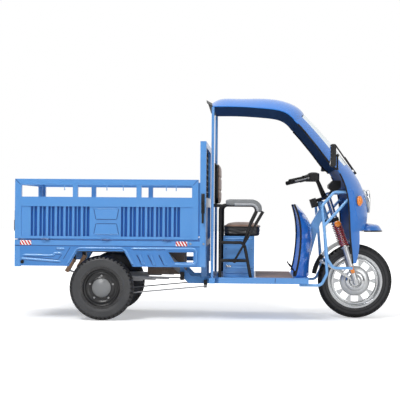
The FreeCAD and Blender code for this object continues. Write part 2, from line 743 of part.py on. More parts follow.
def leaf_springs():
    seat_z = AXLE_REAR_Z + AXLE_TUBE_R + CLAMP_PLATE
    leaves = []
    for number in range(LEAVES):
        short = 1 - LEAF_SHORTEN_SHARE * (LEAVES - 1 - number)
        low = seat_z + number * LEAF_THICK
        lift = LEAF_THICK * (number - LEAVES + 1)
        flat = CLAMP_LONG / 2 + 2 * UBOLT_R
        front = REAR_AXLE_X + (LEAF_FRONT_X - REAR_AXLE_X) * short
        rear = REAR_AXLE_X + (LEAF_REAR_X - REAR_AXLE_X) * short
        front_z = low + (LEAF_FRONT_Z - LEAF_THICK / 2 - low + lift) * short * short
        rear_z = low + (LEAF_REAR_Z - LEAF_THICK / 2 - low + lift) * short * short
        under = [(rear, rear_z), (REAR_AXLE_X - flat, low), (REAR_AXLE_X + flat, low), (front, front_z)]
        over = [(x, z + LEAF_THICK) for x, z in reversed(under)]
        leaves.append(slab(under + over, LEAF_Y - LEAF_WIDE / 2, LEAF_Y + LEAF_WIDE / 2))
    for x, z in ((LEAF_FRONT_X, LEAF_FRONT_Z), (LEAF_REAR_X, LEAF_REAR_Z)):
        leaves.append(cross_rod(x, LEAF_Y - LEAF_WIDE / 2, LEAF_Y + LEAF_WIDE / 2, z, LEAF_EYE_R))
    spring = fuse(leaves)
    for x, z in ((LEAF_FRONT_X, LEAF_FRONT_Z), (LEAF_REAR_X, LEAF_REAR_Z)):
        spring = spring.cut(cross_rod(x, LEAF_Y - LEAF_WIDE, LEAF_Y + LEAF_WIDE, z, LEAF_PIN_R + FIT))
    save("leaf_springs", both(spring))


def spring_hangers():
    """Front eye hangers, and the rear shackles with their frame brackets."""
    inner = LEAF_Y - LEAF_WIDE / 2 - SEAT_GAP
    outer = LEAF_Y + LEAF_WIDE / 2 + SEAT_GAP
    rail_out = RAIL_Y + RAIL_WIDE / 2
    half = SHACKLE_WIDE / 2
    front = [slab([(LEAF_FRONT_X - half, LEAF_FRONT_Z - half), (LEAF_FRONT_X + half, LEAF_FRONT_Z - half),
                   (LEAF_FRONT_X + half, LEAF_FRONT_Z + 3 * half), (LEAF_FRONT_X - half,
                                                                    LEAF_FRONT_Z + 3 * half)],
                  y - SHACKLE_PLATE / 2, y + SHACKLE_PLATE / 2)
             for y in (inner - SHACKLE_PLATE / 2, outer + SHACKLE_PLATE / 2)]
    bridge = block(LEAF_FRONT_X - half, LEAF_FRONT_X + half, rail_out, outer + SHACKLE_PLATE,
                   LEAF_FRONT_Z + 2 * half, LEAF_FRONT_Z + 3 * half)
    pin = cross_rod(LEAF_FRONT_X, inner - SHACKLE_PLATE, outer + SHACKLE_PLATE, LEAF_FRONT_Z, LEAF_PIN_R)
    save("frame_brackets", both(fuse(front + [bridge, pin])))
    bracket = block(SHACKLE_TOP_X - half, SHACKLE_TOP_X + half, inner, outer, SHACKLE_TOP_Z - half,
                    RAIL_TOP - RAIL_TALL)
    tie = block(SHACKLE_TOP_X - half, SHACKLE_TOP_X + half, rail_out - RAIL_WIDE, outer,
                RAIL_TOP - RAIL_TALL - SHACKLE_PLATE, RAIL_TOP - RAIL_TALL)
    save("frame_brackets", both(fuse([bracket, tie])))
    lean = math.degrees(math.atan2(SHACKLE_TOP_X - LEAF_REAR_X, SHACKLE_TOP_Z - LEAF_REAR_Z))
    reach = math.hypot(SHACKLE_TOP_X - LEAF_REAR_X, SHACKLE_TOP_Z - LEAF_REAR_Z)
    links = []
    for y in (inner - SHACKLE_PLATE - SEAT_GAP, outer + SEAT_GAP):
        link = block(-half, half, y, y + SHACKLE_PLATE, -half, reach + half)
        link.rotate(vec(0, 0, 0), vec(0, 1, 0), lean)
        link.translate(vec(LEAF_REAR_X, 0, LEAF_REAR_Z))
        links.append(link)
    low_pin = cross_rod(LEAF_REAR_X, inner - SHACKLE_PLATE, outer + SHACKLE_PLATE, LEAF_REAR_Z, LEAF_PIN_R)
    save("spring_shackles", both(fuse(links + [low_pin])))


def brake_rods():
    pin_x = REAR_AXLE_X + BRAKE_ARM_AHEAD
    pin_z = AXLE_REAR_Z - BRAKE_ARM_DROP
    rear = vec(pin_x, BRAKE_ROD_Y, pin_z)
    front = vec(BRAKE_ROD_FRONT_X, BRAKE_ROD_Y, BRAKE_ROD_FRONT_Z)
    way = (front - rear).normalize()
    bar = rod(rear + way * BRAKE_EYE_R / 2, front - way * BRAKE_EYE_R / 2, BRAKE_ROD_R)
    eyes = [cross_rod(point.x, BRAKE_ROD_Y - BRAKE_ROD_R, BRAKE_ROD_Y + BRAKE_ROD_R, point.z, BRAKE_EYE_R)
            for point in (rear, front)]
    link = fuse([bar] + eyes)
    holes = ((rear, BRAKE_PIN_R + BRAKE_EYE_PLAY), (front, BRAKE_PIN_R + FIT))
    for point, radius in holes:
        link = link.cut(cross_rod(point.x, BRAKE_ROD_Y - BRAKE_EYE_R, BRAKE_ROD_Y + BRAKE_EYE_R, point.z,
                                  radius))
    save("brake_rods", both(link))
    arm = block(BRAKE_ROD_FRONT_X - BRAKE_EYE_R, BRAKE_ROD_FRONT_X + BRAKE_EYE_R, RAIL_Y + RAIL_WIDE / 2,
                BRAKE_ROD_Y - BRAKE_ROD_R - SEAT_GAP, BRAKE_ROD_FRONT_Z - BRAKE_EYE_R,
                RAIL_LOW_TOP - RAIL_TALL / 2)
    pin = cross_rod(BRAKE_ROD_FRONT_X, RAIL_Y + RAIL_WIDE / 2, BRAKE_ROD_Y + BRAKE_EYE_R, BRAKE_ROD_FRONT_Z,
                    BRAKE_PIN_R)
    save("frame_brackets", both(fuse([arm, pin])))


# Chassis and cargo bed
def chassis():
    low_bottom = RAIL_LOW_TOP - RAIL_TALL
    bottom = RAIL_TOP - RAIL_TALL
    shift = RAIL_TALL * math.tan(math.atan2(RAIL_TOP - RAIL_LOW_TOP,
                                            RAIL_BEND_FRONT_X - RAIL_BEND_REAR_X) / 2)
    outline = [(RAIL_REAR_X, RAIL_TOP), (RAIL_BEND_REAR_X, RAIL_TOP), (RAIL_BEND_FRONT_X, RAIL_LOW_TOP),
               (RAIL_FRONT_X, RAIL_LOW_TOP), (RAIL_FRONT_X, low_bottom),
               (RAIL_BEND_FRONT_X - shift, low_bottom),
               (RAIL_BEND_REAR_X - shift, bottom), (RAIL_REAR_X, bottom)]
    rail_in = RAIL_Y - RAIL_WIDE / 2
    rail_out = RAIL_Y + RAIL_WIDE / 2
    pieces = both(slab(outline, rail_in, rail_out))
    for share in CROSS_REAR_SHARES:
        x = RAIL_REAR_X + share * (RAIL_BEND_REAR_X - RAIL_REAR_X)
        pieces.append(block(x, x + CROSS_WIDE, -rail_in, rail_in, bottom, RAIL_TOP))
    outrigger_low = FLOOR_TOP - SILL_TALL
    end = OUTRIGGER_WIDE / 2
    for x, reach in ((CAB_POST_X, CAB_HALF + end), (STEP_BAR_X, CAB_HALF - SILL_WIDE)):
        pieces.append(block(x - end, x + end, -reach, reach, outrigger_low, RAIL_LOW_TOP))
    save("chassis_frame", [fuse(pieces)])


def storage_box():
    """The closed box that hangs between the rails behind the cab."""
    top = RAIL_TOP - RAIL_TALL
    rail_in = RAIL_Y - RAIL_WIDE / 2
    case = block(STORAGE_X - STORAGE_LONG / 2, STORAGE_X + STORAGE_LONG / 2, -STORAGE_HALF, STORAGE_HALF,
                 top - STORAGE_TALL, top)
    lug = block(STORAGE_X - CROSS_WIDE, STORAGE_X - CROSS_WIDE / 2, -rail_in, rail_in, top - CROSS_WIDE, top)
    save("under_box", [fuse([case, lug])])


def hinge_places(long):
    return [long * share - HINGE_LONG for share in HINGE_SHARES]


def bed_floor():
    rail_in = BED_HALF - BED_RAIL_WIDE
    sheet_low = BED_RAIL_TOP - BED_SHEET
    pieces = []
    for side in (-1, 1):
        y0, y1 = sorted((side * rail_in, side * BED_HALF))
        pieces.append(block(BED_REAR_X, HEAD_REAR_X, y0, y1, BED_RAIL_BOTTOM, BED_RAIL_TOP))
        pieces.append(block(BED_REAR_X, BED_REAR_X + POST_WIDE, y0, y1, POST_FOOT_Z, BED_RAIL_BOTTOM))
        for start in hinge_places(GATE_LONG):
            x = BED_REAR_X + start
            axis_y = side * (BED_HALF + HINGE_OUT)
            barrel = rod(vec(x, axis_y, HINGE_Z), vec(x + HINGE_LONG, axis_y, HINGE_Z), HINGE_R)
            leaf0, leaf1 = sorted((axis_y, side * (BED_HALF - HINGE_R)))
            leaf = block(x, x + HINGE_LONG, leaf0, leaf1, HINGE_Z - HINGE_LEAF, HINGE_Z - HINGE_GAP)
            pin = rod(vec(x, axis_y, HINGE_Z), vec(x + 2 * HINGE_LONG, axis_y, HINGE_Z), HINGE_PIN_R)
            pieces.extend([barrel, leaf, pin])
    pieces.append(block(BED_REAR_X, BED_REAR_X + BED_RAIL_WIDE, -rail_in, rail_in, BED_RAIL_BOTTOM,
                        BED_RAIL_TOP))
    pieces.append(block(BED_REAR_X, HEAD_REAR_X, -rail_in, rail_in, sheet_low, BED_RAIL_TOP))
    step = (HEAD_REAR_X - BED_REAR_X - BED_RAIL_WIDE) / BED_CROSSES
    for number in range(BED_CROSSES):
        x = BED_REAR_X + BED_RAIL_WIDE + step * (number + 1)
        pieces.append(block(x - BED_CROSS_WIDE, x, -rail_in, rail_in, BED_RAIL_BOTTOM, sheet_low))
    wide = 2 * (rail_in - TAILGATE_SIDE_GAP)
    axis_x = BED_REAR_X - HINGE_OUT
    for start in hinge_places(wide):
        y = -wide / 2 + start
        barrel = rod(vec(axis_x, y, HINGE_Z), vec(axis_x, y + HINGE_LONG, HINGE_Z), HINGE_R)
        leaf = block(axis_x, BED_REAR_X + HINGE_R, y, y + HINGE_LONG, HINGE_Z - HINGE_LEAF,
                     HINGE_Z - HINGE_GAP)
        pin = rod(vec(axis_x, y, HINGE_Z), vec(axis_x, y + 2 * HINGE_LONG, HINGE_Z), HINGE_PIN_R)
        pieces.extend([barrel, leaf, pin])
    save("bed_floor", [fuse(pieces)])


def gate_panel(long, posts):
    """A gate lying along X from zero, its outer face at Y zero and its thickness towards +Y."""
    pieces = [block(0, GATE_STILE, 0, GATE_THICK, GATE_BOTTOM, GATE_TOP),
              block(long - GATE_STILE, long, 0, GATE_THICK, GATE_BOTTOM, GATE_TOP),
              block(0, long, 0, GATE_THICK, GAP_TOP, GATE_TOP),
              block(0, long, 0, GATE_THICK, RIB_TOP, GAP_BOTTOM),
              block(0, long, 0, GATE_THICK, GATE_BOTTOM, RIB_BOTTOM)]
    for share in posts:
        x = long * share
        pieces.append(block(x - GATE_POST_WIDE / 2, x + GATE_POST_WIDE / 2, 0, GATE_THICK, GAP_BOTTOM,
                            GAP_TOP))
    ribs = int((long - 2 * GATE_STILE - 2 * RIB_STRIP - CENTRE_PLATE) / (2 * RIB_PITCH))
    ribs = min(ribs, RIBS)
    bank = ribs * RIB_PITCH
    face = [(GATE_STILE, RIB_RECESS)]
    for start in (GATE_STILE + RIB_STRIP, long - GATE_STILE - RIB_STRIP - bank):
        for number in range(ribs):
            for along, depth in RIB_SHARES:
                face.append((start + (number + along) * RIB_PITCH, RIB_RECESS + depth * RIB_DEPTH))
    face.append((long - GATE_STILE, RIB_RECESS))
    back = [(x, y + SHEET) for x, y in reversed(face)]
    pieces.append(plan(face + back, RIB_BOTTOM, RIB_TOP))
    left = GATE_STILE + RIB_STRIP + bank + EMBOSS_MARGIN
    right = long - left
    high = RIB_TOP - EMBOSS_MARGIN
    low = RIB_BOTTOM + EMBOSS_MARGIN
    upper = [(left, high), (right, high), (right - EMBOSS_SLANT, high - EMBOSS_TALL),
             (left + EMBOSS_SLANT, high - EMBOSS_TALL)]
    lower = [(left, low), (right, low), (right - EMBOSS_SLANT, low + EMBOSS_TALL),
             (left + EMBOSS_SLANT, low + EMBOSS_TALL)]
    for outline in (upper, lower):
        pieces.append(slab(outline, RIB_RECESS - EMBOSS, RIB_RECESS + SHEET / 2))
    for start in hinge_places(long):
        x = start + HINGE_LONG + HINGE_GAP
        knuckle = rod(vec(x, -HINGE_OUT, HINGE_Z), vec(x + HINGE_LONG, -HINGE_OUT, HINGE_Z), HINGE_R)
        leaf = block(x, x + HINGE_LONG, -HINGE_OUT, HINGE_R, HINGE_Z + HINGE_GAP, HINGE_Z + HINGE_LEAF)
        leaf = leaf.cut(block(x - OVERRUN, x + HINGE_LONG + OVERRUN, 0, GATE_THICK, HINGE_Z - OVERRUN,
                              GATE_BOTTOM))
        pieces.extend([knuckle, leaf])
    gate = fuse(pieces)
    bores = []
    for start in hinge_places(long):
        x = start + HINGE_LONG
        bores.append(rod(vec(x - HINGE_GAP, -HINGE_OUT, HINGE_Z),
                         vec(x + 2 * HINGE_LONG, -HINGE_OUT, HINGE_Z), HINGE_PIN_R + FIT))
    return gate.cut(Part.makeCompound(bores))


def gates():
    side = gate_panel(GATE_LONG, GATE_POST_SHARES)
    side.translate(vec(BED_REAR_X, -BED_HALF, 0))
    save("side_gate_right", [side])
    save("side_gate_left", [mirrored(side)])
    wide = 2 * (BED_HALF - BED_RAIL_WIDE - TAILGATE_SIDE_GAP)
    tail = gate_panel(wide, ())
    tail.translate(vec(-wide / 2, 0, 0))
    tail.rotate(vec(0, 0, 0), vec(0, 0, 1), -90)
    tail = tail.mirror(vec(0, 0, 0), vec(0, 1, 0))
    tail.translate(vec(BED_REAR_X, 0, 0))
    save("tailgate", [tail])


def headboard():
    post_in = BED_HALF - BED_RAIL_WIDE
    pieces = []
    for side in (-1, 1):
        y0, y1 = sorted((side * post_in, side * BED_HALF))
        pieces.append(block(HEAD_REAR_X, HEAD_FRONT_X, y0, y1, SKIRT_BOTTOM, HEAD_TOP))
    for low, high in ((HEAD_TOP - TOP_RAIL, HEAD_TOP), (RIB_TOP, GAP_BOTTOM),
                      (BED_RAIL_BOTTOM, BED_RAIL_TOP)):
        pieces.append(block(HEAD_REAR_X, HEAD_FRONT_X, -post_in, post_in, low, high))
    middle = (HEAD_REAR_X + HEAD_FRONT_X) / 2
    pieces.append(block(middle - SHEET, middle + SHEET, -post_in, post_in, BED_RAIL_TOP, RIB_TOP))
    rail_in = RAIL_Y - RAIL_WIDE / 2
    rail_out = RAIL_Y + RAIL_WIDE / 2
    for side in (-1, 1):
        y0, y1 = sorted((side * rail_in, side * rail_out))
        pieces.append(block(HEAD_REAR_X, HEAD_FRONT_X, y0, y1, RAIL_LOW_TOP, BED_RAIL_BOTTOM))
    save("headboard", [fuse(pieces)])
    low = GAP_BOTTOM
    high = HEAD_TOP - TOP_RAIL
    net = block(middle - MESH_THICK / 2, middle + MESH_THICK / 2, -post_in, post_in, low, high)
    wide_step = (2 * post_in - MESH_BAR) / MESH_ACROSS
    tall_step = (high - low - MESH_BAR) / MESH_UP
    gaps = []
    for column in range(MESH_ACROSS):
        for row in range(MESH_UP):
            y = -post_in + MESH_BAR + column * wide_step
            z = low + MESH_BAR + row * tall_step
            gaps.append(block(middle - MESH_THICK, middle + MESH_THICK, y, y + wide_step - MESH_BAR, z,
                              z + tall_step - MESH_BAR))
    save("headboard_mesh", [net.cut(Part.makeCompound(gaps))])


def skirts():
    """Pressed side panels with a wheel arch, slanted ribs and a front window."""
    outer = -BED_HALF
    inner = outer + SKIRT
    reach = REAR_TYRE_R
    arch = [(REAR_AXLE_X + along * reach, SKIRT_BOTTOM + up * (ARCH_TOP - SKIRT_BOTTOM))
            for along, up in ARCH_SHARES]
    rear = BED_REAR_X + POST_WIDE
    outline = [(rear, BED_RAIL_BOTTOM), (rear, SKIRT_BOTTOM)] + arch
    outline += [(HEAD_REAR_X, SKIRT_BOTTOM), (HEAD_REAR_X, BED_RAIL_BOTTOM)]
    window = [(WINDOW_REAR_X, WINDOW_TOP), (WINDOW_FRONT_X, WINDOW_TOP), (WINDOW_FRONT_X, WINDOW_BOTTOM),
              (WINDOW_REAR_X + WINDOW_SLANT, WINDOW_BOTTOM)]
    panel = slab(outline, outer, inner).cut(slab(window, outer - SKIRT, inner + SKIRT))

    def frame(points, grow_x, grow_z):
        middle_x = sum(x for x, z in points) / len(points)
        middle_z = sum(z for x, z in points) / len(points)
        return [(x + math.copysign(grow_x, x - middle_x), z + math.copysign(grow_z, z - middle_z)) for x,
                z in points]

    gap = SKIRT_BEAD_GAP
    window_bead = slab(frame(window, gap + BEAD_WIDE, gap + BEAD_WIDE), outer - BEAD, outer)
    window_bead = window_bead.cut(slab(frame(window, gap, gap), outer - 2 * BEAD, inner))
    arch_in = [(x + math.copysign(gap, x - REAR_AXLE_X), z + gap * up) for (x, z),
               (along, up) in zip(arch, ARCH_SHARES)]
    wider = gap + BEAD_WIDE
    arch_out = [(x + math.copysign(wider, x - REAR_AXLE_X), z + wider * up)
                for (x, z), (along, up) in zip(arch, ARCH_SHARES)]
    pieces = [panel, window_bead, slab(arch_in + arch_out[::-1], outer - BEAD, outer)]
    for number in range(SLANT_RIBS):
        x = SLANT_RIB_X + number * SLANT_RIB_PITCH
        rib = [(x, SLANT_RIB_TOP), (x + SLANT_RIB_WIDE, SLANT_RIB_TOP),
               (x + SLANT_RIB_WIDE + SLANT_RIB_LEAN, SLANT_RIB_BOTTOM),
               (x + SLANT_RIB_LEAN, SLANT_RIB_BOTTOM)]
        pieces.append(slab(rib, outer - BEAD, outer))
    save("bed_skirts", both(fuse(pieces)))


def latch(name, base, lever, place, turn):
    """A toggle latch: a fixed base with a pin, and a lever with a grip; outer side towards -Y."""
    half = LATCH_WIDE / 2
    plate = block(-half, half, -LATCH_PLATE, 0, -LATCH_LONG / 2, LATCH_LONG / 2)
    ear_y = -LATCH_PLATE - LATCH_STAND
    ears = [block(x, x + LATCH_PLATE, ear_y - LATCH_PIN_R, -LATCH_PLATE, -LATCH_PIN_R * 2, LATCH_PIN_R * 2)
            for x in (-half, half - LATCH_PLATE)]
    pin = rod(vec(-half, ear_y, 0), vec(half, ear_y, 0), LATCH_PIN_R)
    bail_top = LATCH_LONG / 2 - LATCH_PLATE
    keeper = block(-LATCH_PIN_R, LATCH_PIN_R, ear_y, -LATCH_PLATE, bail_top - LATCH_PIN_R,
                   bail_top + LATCH_BAIL_R)
    arm_half = half - LATCH_PLATE - SEAT_GAP
    bail_x = arm_half - LATCH_BAIL_R
    bail_low = 2 * LATCH_LEVER + LATCH_BAIL_R
    bail = bent_rod([vec(-bail_x, ear_y, bail_low), vec(-bail_x, ear_y, bail_top),
                     vec(bail_x, ear_y, bail_top),
                     vec(bail_x, ear_y, bail_low)], LATCH_BAIL_R, (LATCH_BAIL_R + bail_x) / 2)
    fixed = fuse([plate, pin, keeper, bail] + ears)
    arm = block(-arm_half, arm_half, ear_y - LATCH_LEVER, ear_y + LATCH_LEVER, -LATCH_LONG / 2, LATCH_LEVER)
    grip = rod(vec(0, ear_y - LATCH_GRIP_R / 2, -LATCH_LONG / 2 + LATCH_GRIP_R),
               vec(0, ear_y - LATCH_GRIP_R / 2, -LATCH_LONG), LATCH_GRIP_R)
    moving = fuse([arm, grip]).cut(rod(vec(-half, ear_y, 0), vec(half, ear_y, 0), LATCH_PIN_R + FIT))
    for shape, node in ((fixed, base), (moving, lever)):
        placed = shape.copy()
        placed.rotate(vec(0, 0, 0), vec(0, 0, 1), turn)
        placed.translate(place)
        yield node + name, placed


def latches():
    post_x = (HEAD_REAR_X + HEAD_FRONT_X) / 2
    rear_y = BED_HALF - BED_RAIL_WIDE - LATCH_REAR_INSET
    for name, place, turn in (("front", vec(post_x, -BED_HALF, LATCH_FRONT_Z), 0),
                              ("rear", vec(BED_REAR_X, -rear_y, LATCH_REAR_Z), -90)):
        fixed, moving = list(latch(name, "latch_base_", "latch_", place, turn))
        save("headboard" if name == "front" else "tailgate", both(fixed[1]))
        save("latch_" + name + "_right", [moving[1]])
        save("latch_" + name + "_left", [mirrored(moving[1])])


# Cab floor and seat
def cab_floor():
    sheet = block(FLOOR_REAR_X, FLOOR_FRONT_X, -CAB_HALF, CAB_HALF, RAIL_LOW_TOP, FLOOR_TOP)
    low = FLOOR_TOP - SILL_TALL
    start = max(FLOOR_REAR_X, CAB_POST_X + OUTRIGGER_WIDE / 2)
    sills = both(block(start, FLOOR_FRONT_X, -CAB_HALF, -CAB_HALF + SILL_WIDE, low, RAIL_LOW_TOP))
    save("floor_pan", [fuse([sheet] + sills)])
    save("floor_mat", [block(MAT_REAR_X, MAT_FRONT_X, -MAT_HALF, MAT_HALF, FLOOR_TOP,
                             FLOOR_TOP + MAT_THICK)])


def seat_box():
    shell = block(BOX_REAR_X, BOX_FRONT_X, -BOX_HALF, BOX_HALF, FLOOR_TOP, BOX_TOP)
    inside = block(BOX_REAR_X + BOX_WALL, BOX_FRONT_X - BOX_WALL, -BOX_HALF + BOX_WALL, BOX_HALF - BOX_WALL,
                   FLOOR_TOP - OVERRUN, BOX_TOP + OVERRUN)
    pieces = [shell.cut(inside)]
    step = (BOX_TOP - FLOOR_TOP) / (BOX_RIBS + 1)
    rib = step * BOX_RIB_SHARE / 2
    for number in range(BOX_RIBS):
        z = FLOOR_TOP + step * (number + 1)
        pieces.extend(both(block(BOX_REAR_X + step / 2, BOX_FRONT_X - step / 2, -BOX_HALF - BOX_RIB,
                                 -BOX_HALF,
                                 z - rib, z + rib)))
    save("seat_box", [fuse(pieces)])
    start = -(BATTERIES * BATTERY_WIDE + (BATTERIES - 1) * BATTERY_GAP) / 2
    middle = (BOX_REAR_X + BOX_FRONT_X) / 2
    cells = []
    for number in range(BATTERIES):
        y = start + number * (BATTERY_WIDE + BATTERY_GAP)
        cells.append(block(middle - BATTERY_LONG / 2, middle + BATTERY_LONG / 2, y, y + BATTERY_WIDE,
                           FLOOR_TOP,
                           FLOOR_TOP + BATTERY_TALL))
    save("batteries", cells)


def pad(long, half, thick, crown, draw):
    """A cushion from X zero to long, base at Z zero: a crowned top, drawn-in sides and rounded ends."""
    sections = []
    for along, shrink in PAD_SHARES:
        x = along * long
        side = half - shrink * draw
        top = thick - crown - shrink * draw
        swell = (1 - shrink) * draw / 2
        low_right, low_left = vec(x, -side + draw / 2, 0), vec(x, side - draw / 2, 0)
        top_right, top_left = vec(x, -side + draw / 2, top), vec(x, side - draw / 2, top)
        edges = [Part.makeLine(low_left, low_right),
                 Part.Arc(low_right, vec(x, -side - swell + draw / 2 - draw / 4, top / 2),
                          top_right).toShape(),
                 Part.Arc(top_right, vec(x, 0, top + crown * (1 - shrink / 2)), top_left).toShape(),
                 Part.Arc(top_left, vec(x, side + swell - draw / 2 + draw / 4, top / 2), low_left).toShape()]
        sections.append(Part.Wire(edges))
    return Part.makeLoft(sections, True, False)


def seat():
    cushion = pad(CUSHION_FRONT_X - CUSHION_REAR_X, CUSHION_HALF, CUSHION_TOP - CUSHION_BASE,
                  CUSHION_CROWN, CUSHION_DRAW)
    cushion.translate(vec(CUSHION_REAR_X, 0, CUSHION_BASE))
    save("seat_cushion", [cushion])
    board_front = BACK_REAR_X + BACK_BOARD
    save("seat_frame", [block(BACK_REAR_X, board_front, -BACK_HALF + BACK_DRAW, BACK_HALF - BACK_DRAW,
                                  BACK_BOTTOM, BACK_TOP)])
    thick = BACK_FRONT_X - board_front - SEAT_GAP
    back = pad(BACK_TOP - BACK_BOTTOM, BACK_HALF, thick, BACK_CROWN, BACK_DRAW)
    back.rotate(vec(0, 0, 0), vec(0, 1, 0), -90)
    back = back.mirror(vec(0, 0, 0), vec(1, 0, 0))
    back.translate(vec(board_front + SEAT_GAP, 0, BACK_BOTTOM))
    save("backrest", [back])


def seat_frame():
    pieces = []
    for side in (-1, 1):
        y = side * FRAME_Y
        pieces.append(bent_rod([vec(FRAME_POST_X, y, FLOOR_TOP), vec(FRAME_POST_X, y, ARM_Z),
                                vec(ARM_FRONT_X, y, ARM_Z),
                                vec(ARM_END_X, y, ARM_END_Z), vec(LEG_BEND_X, y, LEG_TOP_Z)], FRAME_TUBE_R,
                                FRAME_BEND))
        slope = (LEG_FOOT_X - LEG_BEND_X) / (LEG_TOP_Z - FLOOR_TOP)
        pieces.append(bent_rod([vec(FRAME_POST_X, y, LEG_TOP_Z), vec(LEG_BEND_X, y, LEG_TOP_Z),
                                vec(LEG_FOOT_X + FRAME_BEND * slope, y, FLOOR_TOP - FRAME_BEND)],
                               FRAME_TUBE_R, FRAME_BEND))
        end_x = LEG_BEND_X + slope * (LEG_TOP_Z - CROSSBAR_Z)
        pieces.append(rod(vec(FRAME_POST_X, y, CROSSBAR_Z), vec(end_x, y, CROSSBAR_Z), FRAME_TUBE_R))
    low = BACK_BOTTOM - BACK_BAR_TALL
    pieces.append(block(BACK_REAR_X, FRAME_POST_X, -FRAME_Y, FRAME_Y, low, BACK_BOTTOM))
    under = block(FRAME_POST_X, LEG_FOOT_X + FRAME_BEND, -CAB_HALF, CAB_HALF, FLOOR_TOP - 2 * FRAME_BEND,
                  FLOOR_TOP)
    save("seat_frame", [fuse(pieces).cut(under)])


def armrests():
    low = ARM_Z + FRAME_TUBE_R
    high = low + PAD_TALL
    front = ARM_FRONT_X + FRAME_TUBE_R
    outline = [(PAD_REAR_X, low), (front - FRAME_BEND, low), (front - FRAME_BEND, high), (PAD_REAR_X, high)]
    pad_block = slab(outline, -FRAME_Y - PAD_WIDE / 2, -FRAME_Y + PAD_WIDE / 2)
    nose = cross_rod(front - FRAME_BEND, -FRAME_Y - PAD_WIDE / 2, -FRAME_Y + PAD_WIDE / 2, low, PAD_TALL)
    keep = block(front - FRAME_BEND, front + PAD_TALL, -CAB_HALF - OVERRUN, 0, low, high + OVERRUN)
    save("armrests", both(fuse([pad_block, nose.common(keep)])))


def parking_lever():
    y = -FRAME_Y - FRAME_TUBE_R - LEVER_GAP - LEVER_EYE_HALF
    pivot = vec(LEVER_PIVOT_X, y, CROSSBAR_Z)
    tip = vec(LEVER_TIP_X, y, LEVER_TIP_Z)
    way = (tip - pivot).normalize()
    bar = rod(pivot, tip - way * LEVER_GRIP_LONG, LEVER_R)
    grip = rod(tip - way * LEVER_GRIP_LONG, tip, LEVER_GRIP_R)
    eye = cross_rod(pivot.x, y - LEVER_EYE_HALF, y + LEVER_EYE_HALF, pivot.z, LEVER_EYE_R)
    lever = fuse([bar, eye, grip]).cut(cross_rod(pivot.x, y - OVERRUN, y + OVERRUN, pivot.z,
                                                 LEVER_PIN_R + FIT))
    save("parking_lever", [lever])
    pin = cross_rod(pivot.x, y - LEVER_EYE_HALF - LEVER_GAP, -FRAME_Y, pivot.z, LEVER_PIN_R)
    tube = rod(vec(FRAME_POST_X, -FRAME_Y, CROSSBAR_Z), vec(LEG_FOOT_X, -FRAME_Y, CROSSBAR_Z), FRAME_TUBE_R)
    save("frame_brackets", [pin.cut(tube)])


# Canopy, windscreen and fairing
def between(start, end, shares):
    """Stations between two (edge x, edge z, crest x, crest z) places, by shares of each step."""
    return [tuple(a + (b - a) * share for a, b, share in zip(start, end, row)) for row in shares]


def stations():
    """The (edge x, edge z, crest x, crest z) places of the roof, windscreen and fairing, from the rear."""
    rear = (ROOF_REAR_X, ROOF_EDGE_Z, ROOF_REAR_X, ROOF_EDGE_Z)
    reach = (BROW_X, BROW_Z, BROW_CREST_X, ROOF_CREST_Z)
    brow = (BROW_X, BROW_Z, BROW_CREST_X, BROW_CREST_Z)
    cowl = (COWL_X, COWL_Z, COWL_CREST_X, COWL_CREST_Z)
    nose = (NOSE_X, NOSE_Z, NOSE_CREST_X, NOSE_CREST_Z)
    chin = (CHIN_X, CHIN_Z, CHIN_CREST_X, CHIN_CREST_Z)
    roof = between(rear, reach, ROOF_SHARES) + [brow]
    screen = [brow] + between(brow, cowl, SCREEN_SHARES) + [cowl]
    fairing = [cowl] + between(cowl, nose, FAIRING_SHARES) + [nose, chin]
    return roof, screen, fairing


def on_shell(station, half, across, out):
    """A point on a station's arc at a distance across, moved out of the shell along the arc's rise."""
    edge = vec(station[0], 0, station[1])
    crest = vec(station[2], 0, station[3])
    rise = (crest - edge).Length
    radius = (half * half + rise * rise) / (2 * rise)
    height = rise - radius + math.sqrt(max(radius * radius - across * across, 0))
    point = edge + (crest - edge).normalize() * (height + out)
    return vec(point.x, across, point.z)


def shell(places, half, low, high, thick, out=0):
    """Loft a sheet between two distances across, through the stations' arcs."""
    wires = []
    for station in places:
        corners = [[on_shell(station, half, across, lift) for across in (low, (low + high) / 2, high)]
                   for lift in (out, out - thick)]
        top, under = corners
        wires.append(Part.Wire([Part.Arc(*top).toShape(), Part.makeLine(top[2], under[2]),
                                Part.Arc(under[2], under[1], under[0]).toShape(),
                                Part.makeLine(under[0], top[0])]))
    return Part.makeLoft(wires, True, False)


def envelope(places, half):
    """A filled solid behind the stations' arcs, to cut what seats on the shell."""
    wires = []
    for station in places:
        arc = [on_shell(station, half, across, 0) for across in (-half, 0, half)]
        behind = vec(station[2] - station[0], 0, station[3] - station[1]).normalize() * half
        back = [vec(arc[0].x, y, arc[0].z) - behind for y in (half, -half)]
        wires.append(Part.Wire([Part.Arc(*arc).toShape(), Part.makeLine(arc[2], back[0]),
                                Part.makeLine(back[0], back[1]), Part.makeLine(back[1], arc[0])]))
    return Part.makeLoft(wires, True, False)


